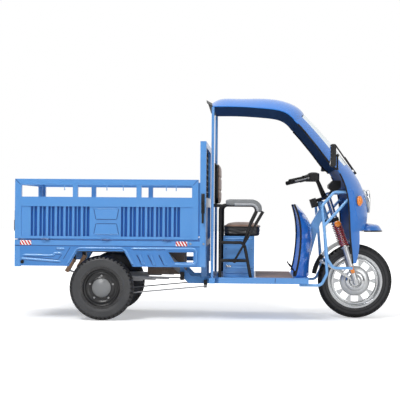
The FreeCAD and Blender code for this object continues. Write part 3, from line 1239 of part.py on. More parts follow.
def cab_shells():
    roof, screen, fairing = stations()
    inner = CAB_HALF - PILLAR_WIDE
    save("canopy", [shell(roof, CAB_HALF, -CAB_HALF, CAB_HALF, SHELL)])
    save("canopy", both(shell(screen, CAB_HALF, -CAB_HALF, -inner, SHELL)))
    save("windscreen", [shell(screen, CAB_HALF, -inner, inner, GLASS)])
    save("fairing", [shell(fairing, CAB_HALF, -CAB_HALF, CAB_HALF, SHELL)])
    chin = fairing[-1]
    wires = []
    for drop, start in WING_SHARES:
        lowered = (chin[0] + (WING_TIP_X - chin[0]) * drop, chin[1] + (WING_TIP_Z - chin[1]) * drop,
                   chin[2] + (WING_TIP_X - chin[0]) * drop, chin[3] + (WING_TIP_Z - chin[1]) * drop)
        first, last = CAB_HALF * start, CAB_HALF
        top = [on_shell(lowered, CAB_HALF, -y, 0) for y in (first, (first + last) / 2, last)]
        under = [on_shell(lowered, CAB_HALF, -y, -SHELL) for y in (first, (first + last) / 2, last)]
        wires.append(Part.Wire([Part.Arc(*top).toShape(), Part.makeLine(top[2], under[2]),
                                Part.Arc(under[2], under[1], under[0]).toShape(),
                                Part.makeLine(under[0], top[0])]))
    save("fairing", both(Part.makeLoft(wires, True, False)))
    rear = roof[0]
    tip = (rear[0] - VISOR_OUT, rear[1] + VISOR_RISE, rear[2] - VISOR_OUT, rear[3] + VISOR_RISE)
    save("rear_visor", [shell([tip, rear], CAB_HALF, -CAB_HALF, CAB_HALF, SHELL)])


def lamps():
    roof, screen, fairing = stations()
    cap = shell(fairing, CAB_HALF, -CAB_HALF, CAB_HALF, LAMP_PROUD, LAMP_PROUD)
    near = NOSE_X - CAB_HALF
    far = NOSE_CREST_X + CAB_HALF
    beam = rod(vec(near, 0, HEADLAMP_Z), vec(far, 0, HEADLAMP_Z), HEADLAMP_R)
    save("headlamp", [cap.common(beam)])
    slot = block(near, far, SIGNAL_Y - SIGNAL_WIDE / 2, SIGNAL_Y + SIGNAL_WIDE / 2,
                 HEADLAMP_Z - SIGNAL_TALL / 2,
                 HEADLAMP_Z + SIGNAL_TALL / 2)
    save("turn_signals", both(cap.common(slot)))
    back = NOSE_X
    side = [(back, BEAK_TOP), (CHIN_CREST_X, BEAK_TOP), (BEAK_TIP_X, BEAK_TIP_Z), (BEAK_TIP_X, BEAK_BOTTOM),
            (back, BEAK_BOTTOM)]
    beak = slab(side, -BEAK_HALF, BEAK_HALF)
    taper = plan([(back, -BEAK_HALF), (CHIN_CREST_X, -BEAK_HALF), (BEAK_TIP_X, -BEAK_TIP_HALF),
                  (BEAK_TIP_X, BEAK_TIP_HALF), (CHIN_CREST_X, BEAK_HALF), (back, BEAK_HALF)],
                 BEAK_BOTTOM, BEAK_TOP)
    hollow = slab([(x, z - BEAK_WALL) for x, z in side[:3]] + [(BEAK_TIP_X, BEAK_BOTTOM - BEAK_WALL),
                                                                (back, BEAK_BOTTOM - BEAK_WALL)],
                  -BEAK_TIP_HALF + BEAK_WALL, BEAK_TIP_HALF - BEAK_WALL)
    chin = fairing[-1]
    lowered = (chin[0], chin[1] - BEAK_HALF, chin[2], chin[3] - BEAK_HALF)
    beak = beak.common(taper).cut(hollow).cut(envelope(fairing, CAB_HALF))
    save("nose_beak", [beak.cut(envelope([chin, lowered], CAB_HALF))])
    y = BED_HALF - BED_RAIL_WIDE - TAIL_LAMP_WIDE
    save("tail_lamps", both(block(BED_REAR_X, BED_REAR_X + TAIL_LAMP, y, y + TAIL_LAMP_WIDE,
                                  BED_RAIL_BOTTOM - TAIL_LAMP_TALL, BED_RAIL_BOTTOM)))


def cab_posts():
    """Two round posts from the outriggers up to the roof's rear corners, with the trim along each side."""
    top = ROOF_EDGE_Z - SHELL
    foot = RAIL_LOW_TOP
    post = rod(vec(CAB_POST_X, -CAB_HALF, foot), vec(CAB_POST_X, -CAB_HALF, top), CAB_POST_R)
    save("cab_posts", both(post))


def leg_shield():
    wires = []
    depth = SHIELD_CREST_X - SHIELD_EDGE_X
    for up, edge, crest, wide in SHIELD_SHARES:
        z = FLOOR_TOP + up * (SHIELD_TOP - FLOOR_TOP)
        station = (SHIELD_EDGE_X + edge * depth, z, SHIELD_EDGE_X + crest * depth, z)
        half = SHIELD_HALF * wide
        top = [on_shell(station, half, across, 0) for across in (-half, 0, half)]
        under = [on_shell(station, half, across, -SHELL) for across in (-half, 0, half)]
        wires.append(Part.Wire([Part.Arc(*top).toShape(), Part.makeLine(top[2], under[2]),
                                Part.Arc(under[2], under[1], under[0]).toShape(),
                                Part.makeLine(under[0], top[0])]))
    sheet = Part.makeLoft(wires, True, False)
    gap = DOWN_TUBE / 2 + SHIELD_SLOT_GAP
    slot = block(SHIELD_EDGE_X - OVERRUN, SHIELD_CREST_X + OVERRUN, -gap, gap, FLOOR_TOP - OVERRUN,
                 GUSSET_TIP_Z + DOWN_TUBE + gap)
    save("leg_shield", [sheet.cut(slot)])


# Front frame and guard bars
def front_frame():
    head = from_fork(rod(vec(-STEER_BACK, 0, HEAD_LOW), vec(-STEER_BACK, 0, HEAD_HIGH), HEAD_R))
    bore = from_fork(rod(vec(-STEER_BACK, 0, HEAD_LOW - OVERRUN), vec(-STEER_BACK, 0, HEAD_HIGH + OVERRUN),
                         STEM_R + FIT))
    low = head.BoundBox.ZMin
    high = head.BoundBox.ZMax

    def axis_x(z):
        return FRONT_AXLE_X - STEER_BACK / COSINE - (z - AXLE_FRONT_Z) * SINE / COSINE

    weld_low, weld_high = (low + (high - low) * share for share in GUSSET_SHARES)
    points = [(axis_x(weld_low), weld_low), (axis_x(weld_high), weld_high),
              (GUSSET_TIP_X - DOWN_TUBE / 2, GUSSET_TIP_Z + DOWN_TUBE),
              (GUSSET_TIP_X - DOWN_TUBE, GUSSET_TIP_Z),
              (GUSSET_TIP_X + DOWN_TUBE / 2, GUSSET_TIP_Z - DOWN_TUBE / 2)]
    gusset = slab(points, -DOWN_TUBE / 2, DOWN_TUBE / 2)
    tube = slab([(GUSSET_TIP_X - DOWN_TUBE, GUSSET_TIP_Z), (GUSSET_TIP_X + DOWN_TUBE / 2,
                                                            GUSSET_TIP_Z - DOWN_TUBE / 2),
                 (DOWN_TUBE_X, FLOOR_TOP), (DOWN_TUBE_X - DOWN_TUBE, FLOOR_TOP)], -DOWN_TUBE / 2,
                 DOWN_TUBE / 2)
    foot = block(DOWN_TUBE_X - DOWN_TUBE, DOWN_TUBE_X, -DOWN_TUBE / 2, DOWN_TUBE / 2, FLOOR_TOP,
                 FLOOR_TOP + FLOOR_SHEET)
    save("front_frame", [fuse([head, gusset, tube, foot]).cut(bore)])


def guard_bars():
    roof, screen, fairing = stations()
    y = GUARD_Y
    span = fairing[1]
    lean = (NOSE_X - span[0]) / (span[1] - NOSE_Z)

    def fairing_x(z):
        station = (span[0] + (span[1] - z) * lean, z, span[2], z)
        return on_shell(station, CAB_HALF, y, -SHELL).x

    loop = bent_rod([vec(fairing_x(GUARD_TOP_Z) - GUARD_R, y, GUARD_TOP_Z),
                     vec(GUARD_BACK_X + GUARD_BEND * 2, y, GUARD_TOP_Z), vec(GUARD_BACK_X, y, GUARD_KNEE_Z),
                     vec(GUARD_LOW_X, y, GUARD_LOW_Z), vec(GUARD_LOW_X + GUARD_BEND, y, GUARD_FOOT_Z),
                     vec(WING_TIP_X, y, GUARD_FOOT_Z)], GUARD_R, GUARD_BEND)
    brace_z = (GUARD_TOP_Z + GUARD_KNEE_Z) / 2
    low_z = brace_z - (NOSE_X - GUARD_BACK_X)
    share = (GUARD_KNEE_Z - low_z) / (GUARD_KNEE_Z - GUARD_LOW_Z)
    brace = rod(vec(GUARD_BACK_X + (GUARD_LOW_X - GUARD_BACK_X) * share, y, low_z),
                vec(fairing_x(brace_z) - GUARD_R, y, brace_z), GUARD_R)
    step_y = y - 2 * GUARD_R
    share = (GUARD_KNEE_Z - STEP_TOP_Z) / (GUARD_KNEE_Z - GUARD_LOW_Z)
    top_x = GUARD_BACK_X + (GUARD_LOW_X - GUARD_BACK_X) * share
    foot_z = FLOOR_TOP - SILL_TALL - GUARD_R
    step = bent_rod([vec(top_x, step_y, STEP_TOP_Z), vec(STEP_FRONT_X, step_y, foot_z + 2 * GUARD_BEND),
                     vec(STEP_FRONT_X - GUARD_BEND, step_y, foot_z), vec(STEP_BAR_X, step_y, foot_z)],
                    GUARD_R, GUARD_BEND)
    weld = rod(vec(top_x, step_y, STEP_TOP_Z), vec(top_x, y, STEP_TOP_Z), GUARD_WELD_R)
    save("guard_bars", both(fuse([loop, brace, step, weld])))


# Fork and steering
def spring_coil():
    """One fork spring in the fork's frame, a single wire on biarcs of a quarter turn, with straight ends."""
    low = SLIDER_TOP + SPRING_GAP + SPRING_WIRE_R
    high = SPRING_CAP_LOW - SPRING_GAP - SPRING_WIRE_R
    steps = 4 * SPRING_TURNS
    climb = (high - low) / steps
    turn = math.pi / 2
    knots = []
    for step in range(steps + 1):
        angle = step * turn
        point = vec(SPRING_COIL_R * math.cos(angle), SPRING_COIL_R * math.sin(angle), low + climb * step)
        way = vec(-SPRING_COIL_R * turn * math.sin(angle), SPRING_COIL_R * turn * math.cos(angle),
                  climb).normalize()
        knots.append((point, way))
    edges = []
    first, first_way = knots[0]
    last, last_way = knots[-1]
    edges.append(Part.makeLine(first - first_way * (2 * SPRING_WIRE_R), first))
    for (here, out), (there, into) in zip(knots, knots[1:]):
        chord = there - here
        sums = out + into
        bend = 2 * (1 - out.dot(into))
        reach = (-chord.dot(sums) + math.sqrt(chord.dot(sums) ** 2 + bend * chord.dot(chord))) / bend
        control = [here + out * reach, there - into * reach]
        joint = (control[0] + control[1]) / 2
        for begin, knee, end in ((here, control[0], joint), (joint, control[1], there)):
            middle = (begin + end) / 2
            half = (end - begin).Length / 2
            slope = math.acos(half / (knee - begin).Length)
            top = middle + (knee - middle).normalize() * (half * math.tan(slope / 2))
            edges.append(Part.Arc(begin, top, end).toShape())
    edges.append(Part.makeLine(last, last + last_way * (2 * SPRING_WIRE_R)))
    section = Part.Wire(Part.makeCircle(SPRING_WIRE_R, edges[0].valueAt(edges[0].FirstParameter), first_way))
    coil = Part.Wire(edges).makePipeShell([section], True, False)
    points = [point for edge in edges[1:-1] for point in edge.discretize(SPRING_PROBES)[:-1]]
    half_turn = 4 * (SPRING_PROBES - 1)
    least = min((there - here).Length for number,
                here in enumerate(points) for there in points[number + half_turn:])
    print("spring's least gap to itself", round(least - 2 * SPRING_WIRE_R, 2))
    return coil


def fork():
    sliders = []
    stanchions = []
    springs = []
    for side in (-1, 1):
        y = side * LEG_Y
        leg = rod(vec(0, y, -SLIDER_FOOT), vec(0, y, SLIDER_TOP), SLIDER_R)
        collar = rod(vec(0, y, SLIDER_TOP - COLLAR), vec(0, y, SLIDER_TOP), COLLAR_R)
        bore = rod(vec(0, y, SLIDER_BORE_LOW), vec(0, y, SLIDER_TOP + OVERRUN), STANCHION_R + FIT)
        axle_hole = rod(vec(0, y - OVERRUN, 0), vec(0, y + OVERRUN, 0), FRONT_AXLE_R + FIT)
        sliders.append(from_fork(fuse([leg, collar]).cut(bore).cut(axle_hole)))
        tube = rod(vec(0, y, STANCHION_LOW), vec(0, y, STANCHION_TOP), STANCHION_R)
        cap = rod(vec(0, y, SPRING_CAP_LOW), vec(0, y, SPRING_CAP_LOW + SPRING_CAP), COLLAR_R)
        stanchions.append(from_fork(fuse([tube, cap])))
        coil = spring_coil()
        coil.translate(vec(0, y, 0))
        springs.append(from_fork(coil))
    save("fork_sliders", sliders)
    save("fork_stanchions", stanchions)
    save("fork_springs", springs)
    end = LEG_Y + SLIDER_R + SLIDER_R / 2
    axle = rod(vec(0, -end, 0), vec(0, end, 0), FRONT_AXLE_R)
    nuts = [rod(vec(0, side * (LEG_Y + SLIDER_R + SEAT_GAP), 0), vec(0, side * end, 0), FRONT_AXLE_R * 2)
            for side in (-1, 1)]
    spacers = [rod(vec(0, side * (FRONT_HUB_HALF + SEAT_GAP), 0),
                   vec(0, side * (LEG_Y - SLIDER_R - SEAT_GAP), 0),
                   FRONT_AXLE_R * 2) for side in (-1, 1)]
    save("fork_sliders", [from_fork(fuse([axle] + nuts + spacers))])
    hole_r = STANCHION_R + FIT

    def clamp(low, thick):
        outline = [(-STEER_BACK - HEAD_R, -HEAD_R), (YOKE_EDGE, -LEG_Y - YOKE_EDGE),
                   (YOKE_EDGE, LEG_Y + YOKE_EDGE),
                   (-STEER_BACK - HEAD_R, HEAD_R)]
        corners = outline[:1] + [(-YOKE_EDGE, -LEG_Y - YOKE_EDGE)] + outline[1:3]
        corners += [(-YOKE_EDGE, LEG_Y + YOKE_EDGE)] + outline[3:]
        plate = plan(corners, low, low + thick)
        for side in (-1, 1):
            plate = plate.cut(rod(vec(0, side * LEG_Y, low - OVERRUN),
                                  vec(0, side * LEG_Y, low + thick + OVERRUN), hole_r))
        return plate

    lower = clamp(YOKE_LOW, YOKE_THICK)
    upper = clamp(YOKE_HIGH, YOKE_TOP_THICK)
    stem = rod(vec(-STEER_BACK, 0, YOKE_LOW), vec(-STEER_BACK, 0, YOKE_HIGH + YOKE_TOP_THICK), STEM_R)
    save("fork_yoke", [from_fork(fuse([lower, upper, stem]))])


def mudguard():
    """A rolled guard behind and over the front wheel, on stays from the slider feet."""
    edge = MUDGUARD_HALF
    outer = MUDGUARD_R + MUDGUARD_WALL
    lip = MUDGUARD_R - MUDGUARD_LIP
    points = [(lip, -edge), (outer, -edge), (outer, edge), (lip, edge), (lip, edge - MUDGUARD_WALL),
              (MUDGUARD_R, edge - MUDGUARD_WALL), (MUDGUARD_R, MUDGUARD_WALL - edge),
              (lip, MUDGUARD_WALL - edge)]
    corners = [vec(radius, across, 0) for radius, across in points]
    face = Part.Face(Part.makePolygon(corners + corners[:1]))
    guard = face.revolve(vec(0, 0, 0), vec(0, 1, 0), MUDGUARD_FRONT - MUDGUARD_REAR)
    guard.rotate(vec(0, 0, 0), vec(0, 1, 0), -MUDGUARD_FRONT)
    guard.translate(vec(FRONT_AXLE_X, 0, AXLE_FRONT_Z))
    stays = []
    spacer_r = 2 * FRONT_AXLE_R
    hole = cross_rod(0, edge - STAY, edge + 2 * STAY, 0, spacer_r + FIT)
    for angle in (MUDGUARD_REAR - RAKE, RAKE + 90):
        strip = block(0, lip + MUDGUARD_LIP / 2, edge, edge + STAY, -STAY_WIDE / 2, STAY_WIDE / 2)
        eye = cross_rod(0, edge, edge + STAY, 0, spacer_r + STAY)
        stay = fuse([strip, eye]).cut(hole)
        stay.rotate(vec(0, 0, 0), vec(0, 1, 0), -angle)
        stay.translate(vec(FRONT_AXLE_X, 0, AXLE_FRONT_Z))
        stays.append(stay)
    save("front_mudguard", [fuse([guard] + [copy for stay in stays for copy in both(stay)])])


def handlebar():
    middle = vec(RISER_TOP_X, 0, RISER_TOP_Z)
    knee = vec(BAR_OUT_X, BAR_OUT_Y, BAR_OUT_Z)
    end = vec(BAR_END_X, BAR_END_Y, BAR_END_Z)
    way = (end - knee).normalize()
    bend_at = vec(RISER_TOP_X, BAR_OUT_Y - (RISER_TOP_X - BAR_OUT_X), BAR_OUT_Z + BAR_R)
    half = bent_rod([middle, vec(RISER_TOP_X, bend_at.y, RISER_TOP_Z), knee, end], BAR_R, BAR_BEND)
    top_face = YOKE_HIGH + YOKE_TOP_THICK
    foot = from_fork(Part.Vertex(vec(-STEER_BACK / 2, RISER_Y, top_face - RISER_R))).Point
    riser = rod(foot, vec(RISER_TOP_X, RISER_Y, RISER_TOP_Z), RISER_R)
    under = from_fork(block(-STEER_BACK * 2, LEG_Y, -LEG_Y, LEG_Y, top_face - LEG_Y, top_face))
    riser = riser.cut(under)
    save("handlebar", [fuse(both(half) + both(riser))])
    grip_start = end - way * GRIP_LONG
    grip = fuse([rod(grip_start, end, GRIP_R), rod(end, end + way * BAR_R,
                                                   GRIP_R)]).cut(rod(knee, end, BAR_R + FIT))
    save("bar_controls", [grip])
    save("throttle_grip", [mirrored(grip)])
    pod_end = grip_start - way * POD_GAP
    pod = rod(pod_end - way * POD_LONG, pod_end, POD_R)
    bar_hole = rod(knee - way * GRIP_LONG, end, BAR_R + FIT)
    save("bar_controls", [pod.cut(bar_hole)])
    ahead = way.cross(vec(0, 0, 1)).normalize()
    if ahead.x < 0:
        ahead = ahead * -1
    middle_pod = pod_end - way * (POD_LONG / 2)
    pivot = middle_pod + ahead * (POD_R + LEVER_STAND)
    blade = bent_rod([pivot, pivot + ahead * (BRAKE_LEVER_OUT / 2) + way * BRAKE_LEVER_OUT,
                      pivot + ahead * (BRAKE_LEVER_OUT / 3) + way * BRAKE_LEVER_LONG], BRAKE_LEVER_R,
                      BAR_BEND)
    up = ahead.cross(way).normalize()
    eye_half = BRAKE_LEVER_R + SEAT_GAP
    eye = rod(pivot - up * eye_half, pivot + up * eye_half, BRAKE_EAR_R - SEAT_GAP)
    pin_r = BRAKE_LEVER_R / 2
    lever = fuse([blade, eye]).cut(rod(pivot - up * OVERRUN, pivot + up * OVERRUN, pin_r + FIT))
    save("brake_lever", [mirrored(lever)])
    pieces = [pod, rod(pivot - up * (eye_half + BRAKE_EAR), pivot + up * (eye_half + BRAKE_EAR), pin_r)]
    for step in (-1, 1):
        low = pivot + up * (step * (eye_half + SEAT_GAP))
        pieces.append(rod(low, low + up * (step * BRAKE_EAR), BRAKE_EAR_R))
        middle_ear = up * (step * (eye_half + SEAT_GAP + BRAKE_EAR / 2))
        pieces.append(rod(middle_pod + middle_ear, pivot + middle_ear, BRAKE_EAR / 2 - SEAT_GAP))
    save("bar_controls", [mirrored(fuse(pieces).cut(bar_hole))])


def instruments():
    """The steering lock box on the top yoke and the meter ahead of it."""
    top = YOKE_HIGH + YOKE_TOP_THICK
    lock = block(-STEER_BACK - LOCK_LONG, -STEER_BACK - HEAD_R, -LOCK_HALF, LOCK_HALF,
                 YOKE_HIGH - LOCK_TALL / 2,
                 YOKE_HIGH + LOCK_TALL / 2)
    save("instruments", [from_fork(lock)])
    middle = (METER_REAR_X + METER_FRONT_X) / 2
    case = slab([(METER_REAR_X, METER_BOTTOM + METER_LEAN), (middle, METER_BOTTOM),
                 (METER_FRONT_X, METER_BOTTOM + METER_LEAN),
                 (METER_FRONT_X, METER_TOP), (METER_REAR_X + METER_LEAN, METER_TOP),
                 (METER_REAR_X, METER_TOP - METER_LEAN)],
                -METER_HALF, METER_HALF)
    foot = from_fork(Part.Vertex(vec(YOKE_EDGE / 2, 0, top))).Point
    arm = slab([(foot.x - METER_ARM, foot.z), (foot.x + METER_ARM, foot.z),
                (middle + METER_ARM, METER_BOTTOM + METER_LEAN),
                (middle - METER_ARM, METER_BOTTOM + METER_LEAN)], -METER_ARM, METER_ARM)
    yoke = from_fork(block(-STEER_BACK * 2, LEG_Y, -LEG_Y, LEG_Y, top - LEG_Y, top))
    save("instruments", [fuse([case, arm]).cut(yoke)])


# Mirrors, wiper and pedal
def mirrors():
    """Two mirrors, each on a ball at the top of a stalk that passes below and ahead of the head."""
    middle_z = MIRROR_BOTTOM + MIRROR_TALL / 2
    ahead = MIRROR_X + MIRROR_THICK / 2
    out = MIRROR_Y + MIRROR_WIDE / 2
    head = block(MIRROR_X - MIRROR_THICK / 2, ahead, MIRROR_Y, MIRROR_Y + MIRROR_WIDE, MIRROR_BOTTOM,
                 MIRROR_BOTTOM + MIRROR_TALL)
    head = head.makeFillet(MIRROR_THICK / 3, head.Edges)
    ball_at = vec(ahead + MIRROR_BALL_R + SEAT_GAP, out, middle_z)
    save("mirror_left", [head])
    save("mirror_right", [mirrored(head)])
    bend = MIRROR_STALK_R * MIRROR_BEND_SHARE
    foot = vec(COWL_X, CAB_HALF, COWL_Z)
    route = [foot, vec(COWL_X, CAB_HALF + bend, COWL_Z), vec(ball_at.x, out, COWL_Z), ball_at]
    stalk = fuse([bent_rod(route, MIRROR_STALK_R, bend), Part.makeSphere(MIRROR_BALL_R, ball_at)])
    save("frame_brackets", both(stalk))


def wiper():
    """A wiper on the cowl below the screen: local X up along the glass, local Z out of it."""
    roof, screen, fairing = stations()
    low = vec(fairing[1][2], 0, fairing[1][3])
    high = vec(fairing[0][2], 0, fairing[0][3])
    up = (high - low).normalize()
    out = vec(up.z, 0, -up.x)
    base = (low + high) / 2 + out * WIPER_SEAT
    head_top = WIPER_BOSS + WIPER_ARM_THICK
    boss = rod(vec(0, 0, -WIPER_BOSS), vec(0, 0, WIPER_BOSS), WIPER_BOSS_R)
    arm = block(0, WIPER_ARM, -WIPER_ARM_WIDE / 2, WIPER_ARM_WIDE / 2, WIPER_BOSS + SEAT_GAP, head_top)
    head = rod(vec(0, 0, WIPER_BOSS + SEAT_GAP), vec(0, 0, head_top), WIPER_BOSS_R)
    blade = block(WIPER_ARM - WIPER_BLADE / 2, WIPER_ARM + WIPER_BLADE / 2, -WIPER_BLADE_WIDE / 2,
                  WIPER_BLADE_WIDE / 2,
                  WIPER_BOSS - WIPER_LIFT / 2, WIPER_BOSS + SEAT_GAP)
    blade = blade.cut(rod(vec(0, 0, 0), vec(0, 0, head_top), WIPER_BOSS_R * 2))
    for shape, name in ((boss, "frame_brackets"), (fuse([arm, head, blade]), "wiper")):
        shape.rotate(vec(0, 0, 0), vec(1, 0, 0), 180)
        shape.rotate(vec(0, 0, 0), vec(0, 1, 0), math.degrees(math.atan2(-up.z, up.x)))
        shape.translate(base)
        save(name, [shape.cut(envelope(fairing, CAB_HALF))])


def brake_pedal():
    pivot_z = FLOOR_TOP + PEDAL_PIVOT_UP
    half = PEDAL_ARM / 2
    eye = cross_rod(PEDAL_PIVOT_X, PEDAL_Y - half, PEDAL_Y + half, pivot_z, PEDAL_PIN_R * 2)
    arm = slab([(PEDAL_PIVOT_X - PEDAL_PIN_R, pivot_z), (PEDAL_PIVOT_X + PEDAL_PIN_R, pivot_z),
                (PEDAL_PIVOT_X - PEDAL_REACH + PEDAL_PIN_R, pivot_z + PEDAL_RISE),
                (PEDAL_PIVOT_X - PEDAL_REACH - PEDAL_PIN_R, pivot_z + PEDAL_RISE)], PEDAL_Y - half,
                PEDAL_Y + half)
    sole = block(-PEDAL_PAD, 0, PEDAL_Y - PEDAL_PAD_WIDE / 2, PEDAL_Y + PEDAL_PAD_WIDE / 2,
                 -PEDAL_PAD_TALL / 2,
                 PEDAL_PAD_TALL / 2)
    sole.rotate(vec(0, 0, 0), vec(0, 1, 0), -math.degrees(math.atan2(PEDAL_REACH, PEDAL_RISE)))
    sole.translate(vec(PEDAL_PIVOT_X - PEDAL_REACH, 0, pivot_z + PEDAL_RISE))
    pedal = fuse([eye, arm, sole]).cut(cross_rod(PEDAL_PIVOT_X, PEDAL_Y - OVERRUN, PEDAL_Y + OVERRUN,
                                                 pivot_z,
                                                 PEDAL_PIN_R + FIT))
    save("brake_pedal", [pedal])
    ears = [block(PEDAL_PIVOT_X - 2 * PEDAL_PIN_R, PEDAL_PIVOT_X + 2 * PEDAL_PIN_R, y, y + PEDAL_EAR,
                  FLOOR_TOP,
                  pivot_z + PEDAL_PIN_R) for y in (PEDAL_Y - half - SEAT_GAP - PEDAL_EAR,
                                                   PEDAL_Y + half + SEAT_GAP)]
    pin = cross_rod(PEDAL_PIVOT_X, PEDAL_Y - half - PEDAL_EAR, PEDAL_Y + half + PEDAL_EAR, pivot_z,
                    PEDAL_PIN_R)
    save("frame_brackets", [fuse(ears + [pin])])


front_wheel()
rear_wheel(-1, "right")
rear_wheel(1, "left")
rear_axle()
spring_clamps()
leaf_springs()
spring_hangers()
brake_rods()
chassis()
storage_box()
bed_floor()
gates()
headboard()
skirts()
latches()
cab_floor()
seat_box()
seat()
seat_frame()
armrests()
parking_lever()
cab_shells()
lamps()
cab_posts()
leg_shield()
front_frame()
guard_bars()
fork()
mudguard()
handlebar()
instruments()
mirrors()
wiper()
brake_pedal()
write_nodes()
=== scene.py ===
import math

import bmesh
import bpy
import numpy as np
from mathutils import Matrix, Vector
from mathutils.bvhtree import BVHTree


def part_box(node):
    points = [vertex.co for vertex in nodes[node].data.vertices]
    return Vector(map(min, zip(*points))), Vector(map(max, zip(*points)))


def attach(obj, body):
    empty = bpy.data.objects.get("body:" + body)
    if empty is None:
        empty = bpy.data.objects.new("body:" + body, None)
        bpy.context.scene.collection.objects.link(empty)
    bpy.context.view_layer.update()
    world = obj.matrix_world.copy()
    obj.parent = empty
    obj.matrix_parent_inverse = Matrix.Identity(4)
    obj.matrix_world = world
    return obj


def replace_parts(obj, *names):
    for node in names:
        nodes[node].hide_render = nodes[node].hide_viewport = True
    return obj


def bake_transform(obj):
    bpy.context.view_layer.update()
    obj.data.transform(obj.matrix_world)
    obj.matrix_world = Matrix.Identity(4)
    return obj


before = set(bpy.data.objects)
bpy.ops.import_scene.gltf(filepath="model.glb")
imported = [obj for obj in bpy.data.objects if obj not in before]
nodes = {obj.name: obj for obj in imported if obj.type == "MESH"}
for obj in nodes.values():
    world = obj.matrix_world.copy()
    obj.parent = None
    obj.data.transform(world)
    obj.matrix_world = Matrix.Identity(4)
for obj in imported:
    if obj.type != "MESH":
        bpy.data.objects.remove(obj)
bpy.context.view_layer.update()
scene = bpy.context.scene
scene.view_settings.view_transform = "Standard"

BED_SIDE = 0.5
CAB_SIDE = 0.43
BOX_SIDE = 0.33
SIDES = ((-1, "right"), (1, "left"))


# Shader groups
def new_group(name, inputs, outputs):
    """An empty shader group with named sockets; returns the tree and its two ends."""
    tree = bpy.data.node_groups.new(name, "ShaderNodeTree")
    for label, kind, value in inputs:
        socket = tree.interface.new_socket(label, in_out="INPUT", socket_type=kind)
        socket.default_value = value
    for label, kind in outputs:
        tree.interface.new_socket(label, in_out="OUTPUT", socket_type=kind)
    return tree, tree.nodes.new("NodeGroupInput"), tree.nodes.new("NodeGroupOutput")


def add(tree, kind, values=None, links=None, **settings):
    """A node with settings, socket values and incoming links in one line."""
    node = tree.nodes.new(kind)
    for key, value in settings.items():
        setattr(node, key, value)
    for key, value in (values or {}).items():
        node.inputs[key].default_value = value
    for key, source in (links or {}).items():
        tree.links.new(source, node.inputs[key])
    return node


def reckon(tree, operation, *terms):
    """The output of a Math node whose terms are sockets or plain numbers."""
    node = add(tree, "ShaderNodeMath", operation=operation)
    for place, term in enumerate(terms):
        if isinstance(term, float):
            node.inputs[place].default_value = term
        else:
            tree.links.new(term, node.inputs[place])
    return node.outputs[0]


COLOR, FLOAT = "NodeSocketColor", "NodeSocketFloat"
SPECK_FINENESS = 34.0
DUST_LEVELS = (0.16, 0.42)
DUST_ROUGHNESS = 0.35
COAT_ROUGHNESS = 0.08
BUMP_DEPTH = 0.001


def make_weathered():
    """Colour and roughness that drift over the surface by two noises: broad patches and fine specks."""
    tree, start, end = new_group("weathered_finish",
                                 [("Colour", COLOR, (1, 1, 1, 1)), ("Dust", COLOR, (0.5, 0.48, 0.45, 1)),
                                  ("Amount", FLOAT, 0.1), ("Roughness", FLOAT, 0.4), ("Scale", FLOAT, 6.0)],
                                 [("Colour", COLOR), ("Roughness", FLOAT), ("Height", FLOAT)])
    place = add(tree, "ShaderNodeTexCoord").outputs["Object"]
    broad = add(tree, "ShaderNodeTexNoise", {"Detail": 4.0, "Roughness": 0.6},
                {"Vector": place, "Scale": start.outputs["Scale"]})
    finer = reckon(tree, "MULTIPLY", start.outputs["Scale"], SPECK_FINENESS)
    specks = add(tree, "ShaderNodeTexNoise", {"Detail": 2.0}, {"Vector": place, "Scale": finer})
    both = reckon(tree, "MULTIPLY", broad.outputs["Fac"], specks.outputs["Fac"])
    mask = add(tree, "ShaderNodeMapRange", {"From Min": DUST_LEVELS[0], "From Max": DUST_LEVELS[1]},
               {"Value": both})
    share = reckon(tree, "MULTIPLY", mask.outputs[0], start.outputs["Amount"])
    mix = add(tree, "ShaderNodeMix", data_type="RGBA")
    tree.links.new(share, mix.inputs[0])
    tree.links.new(start.outputs["Colour"], mix.inputs[6])
    tree.links.new(start.outputs["Dust"], mix.inputs[7])
    rough = reckon(tree, "ADD", start.outputs["Roughness"], reckon(tree, "MULTIPLY", share, DUST_ROUGHNESS))
    tree.links.new(mix.outputs[2], end.inputs["Colour"])
    tree.links.new(rough, end.inputs["Roughness"])
    tree.links.new(specks.outputs["Fac"], end.inputs["Height"])
    return tree


def make_grain():
    """Moulded or leather grain: a cell pattern softened by noise."""
    tree, start, end = new_group("moulded_grain", [("Scale", FLOAT, 300.0)], [("Height", FLOAT)])
    place = add(tree, "ShaderNodeTexCoord").outputs["Object"]
    cells = add(tree, "ShaderNodeTexVoronoi", links={"Vector": place, "Scale": start.outputs["Scale"]})
    noise = add(tree, "ShaderNodeTexNoise", {"Detail": 3.0},
                {"Vector": place, "Scale": start.outputs["Scale"]})
    both = reckon(tree, "MULTIPLY", cells.outputs["Distance"], noise.outputs["Fac"])
    tree.links.new(both, end.inputs["Height"])
    return tree


WEATHERED = make_weathered()
GRAIN = make_grain()


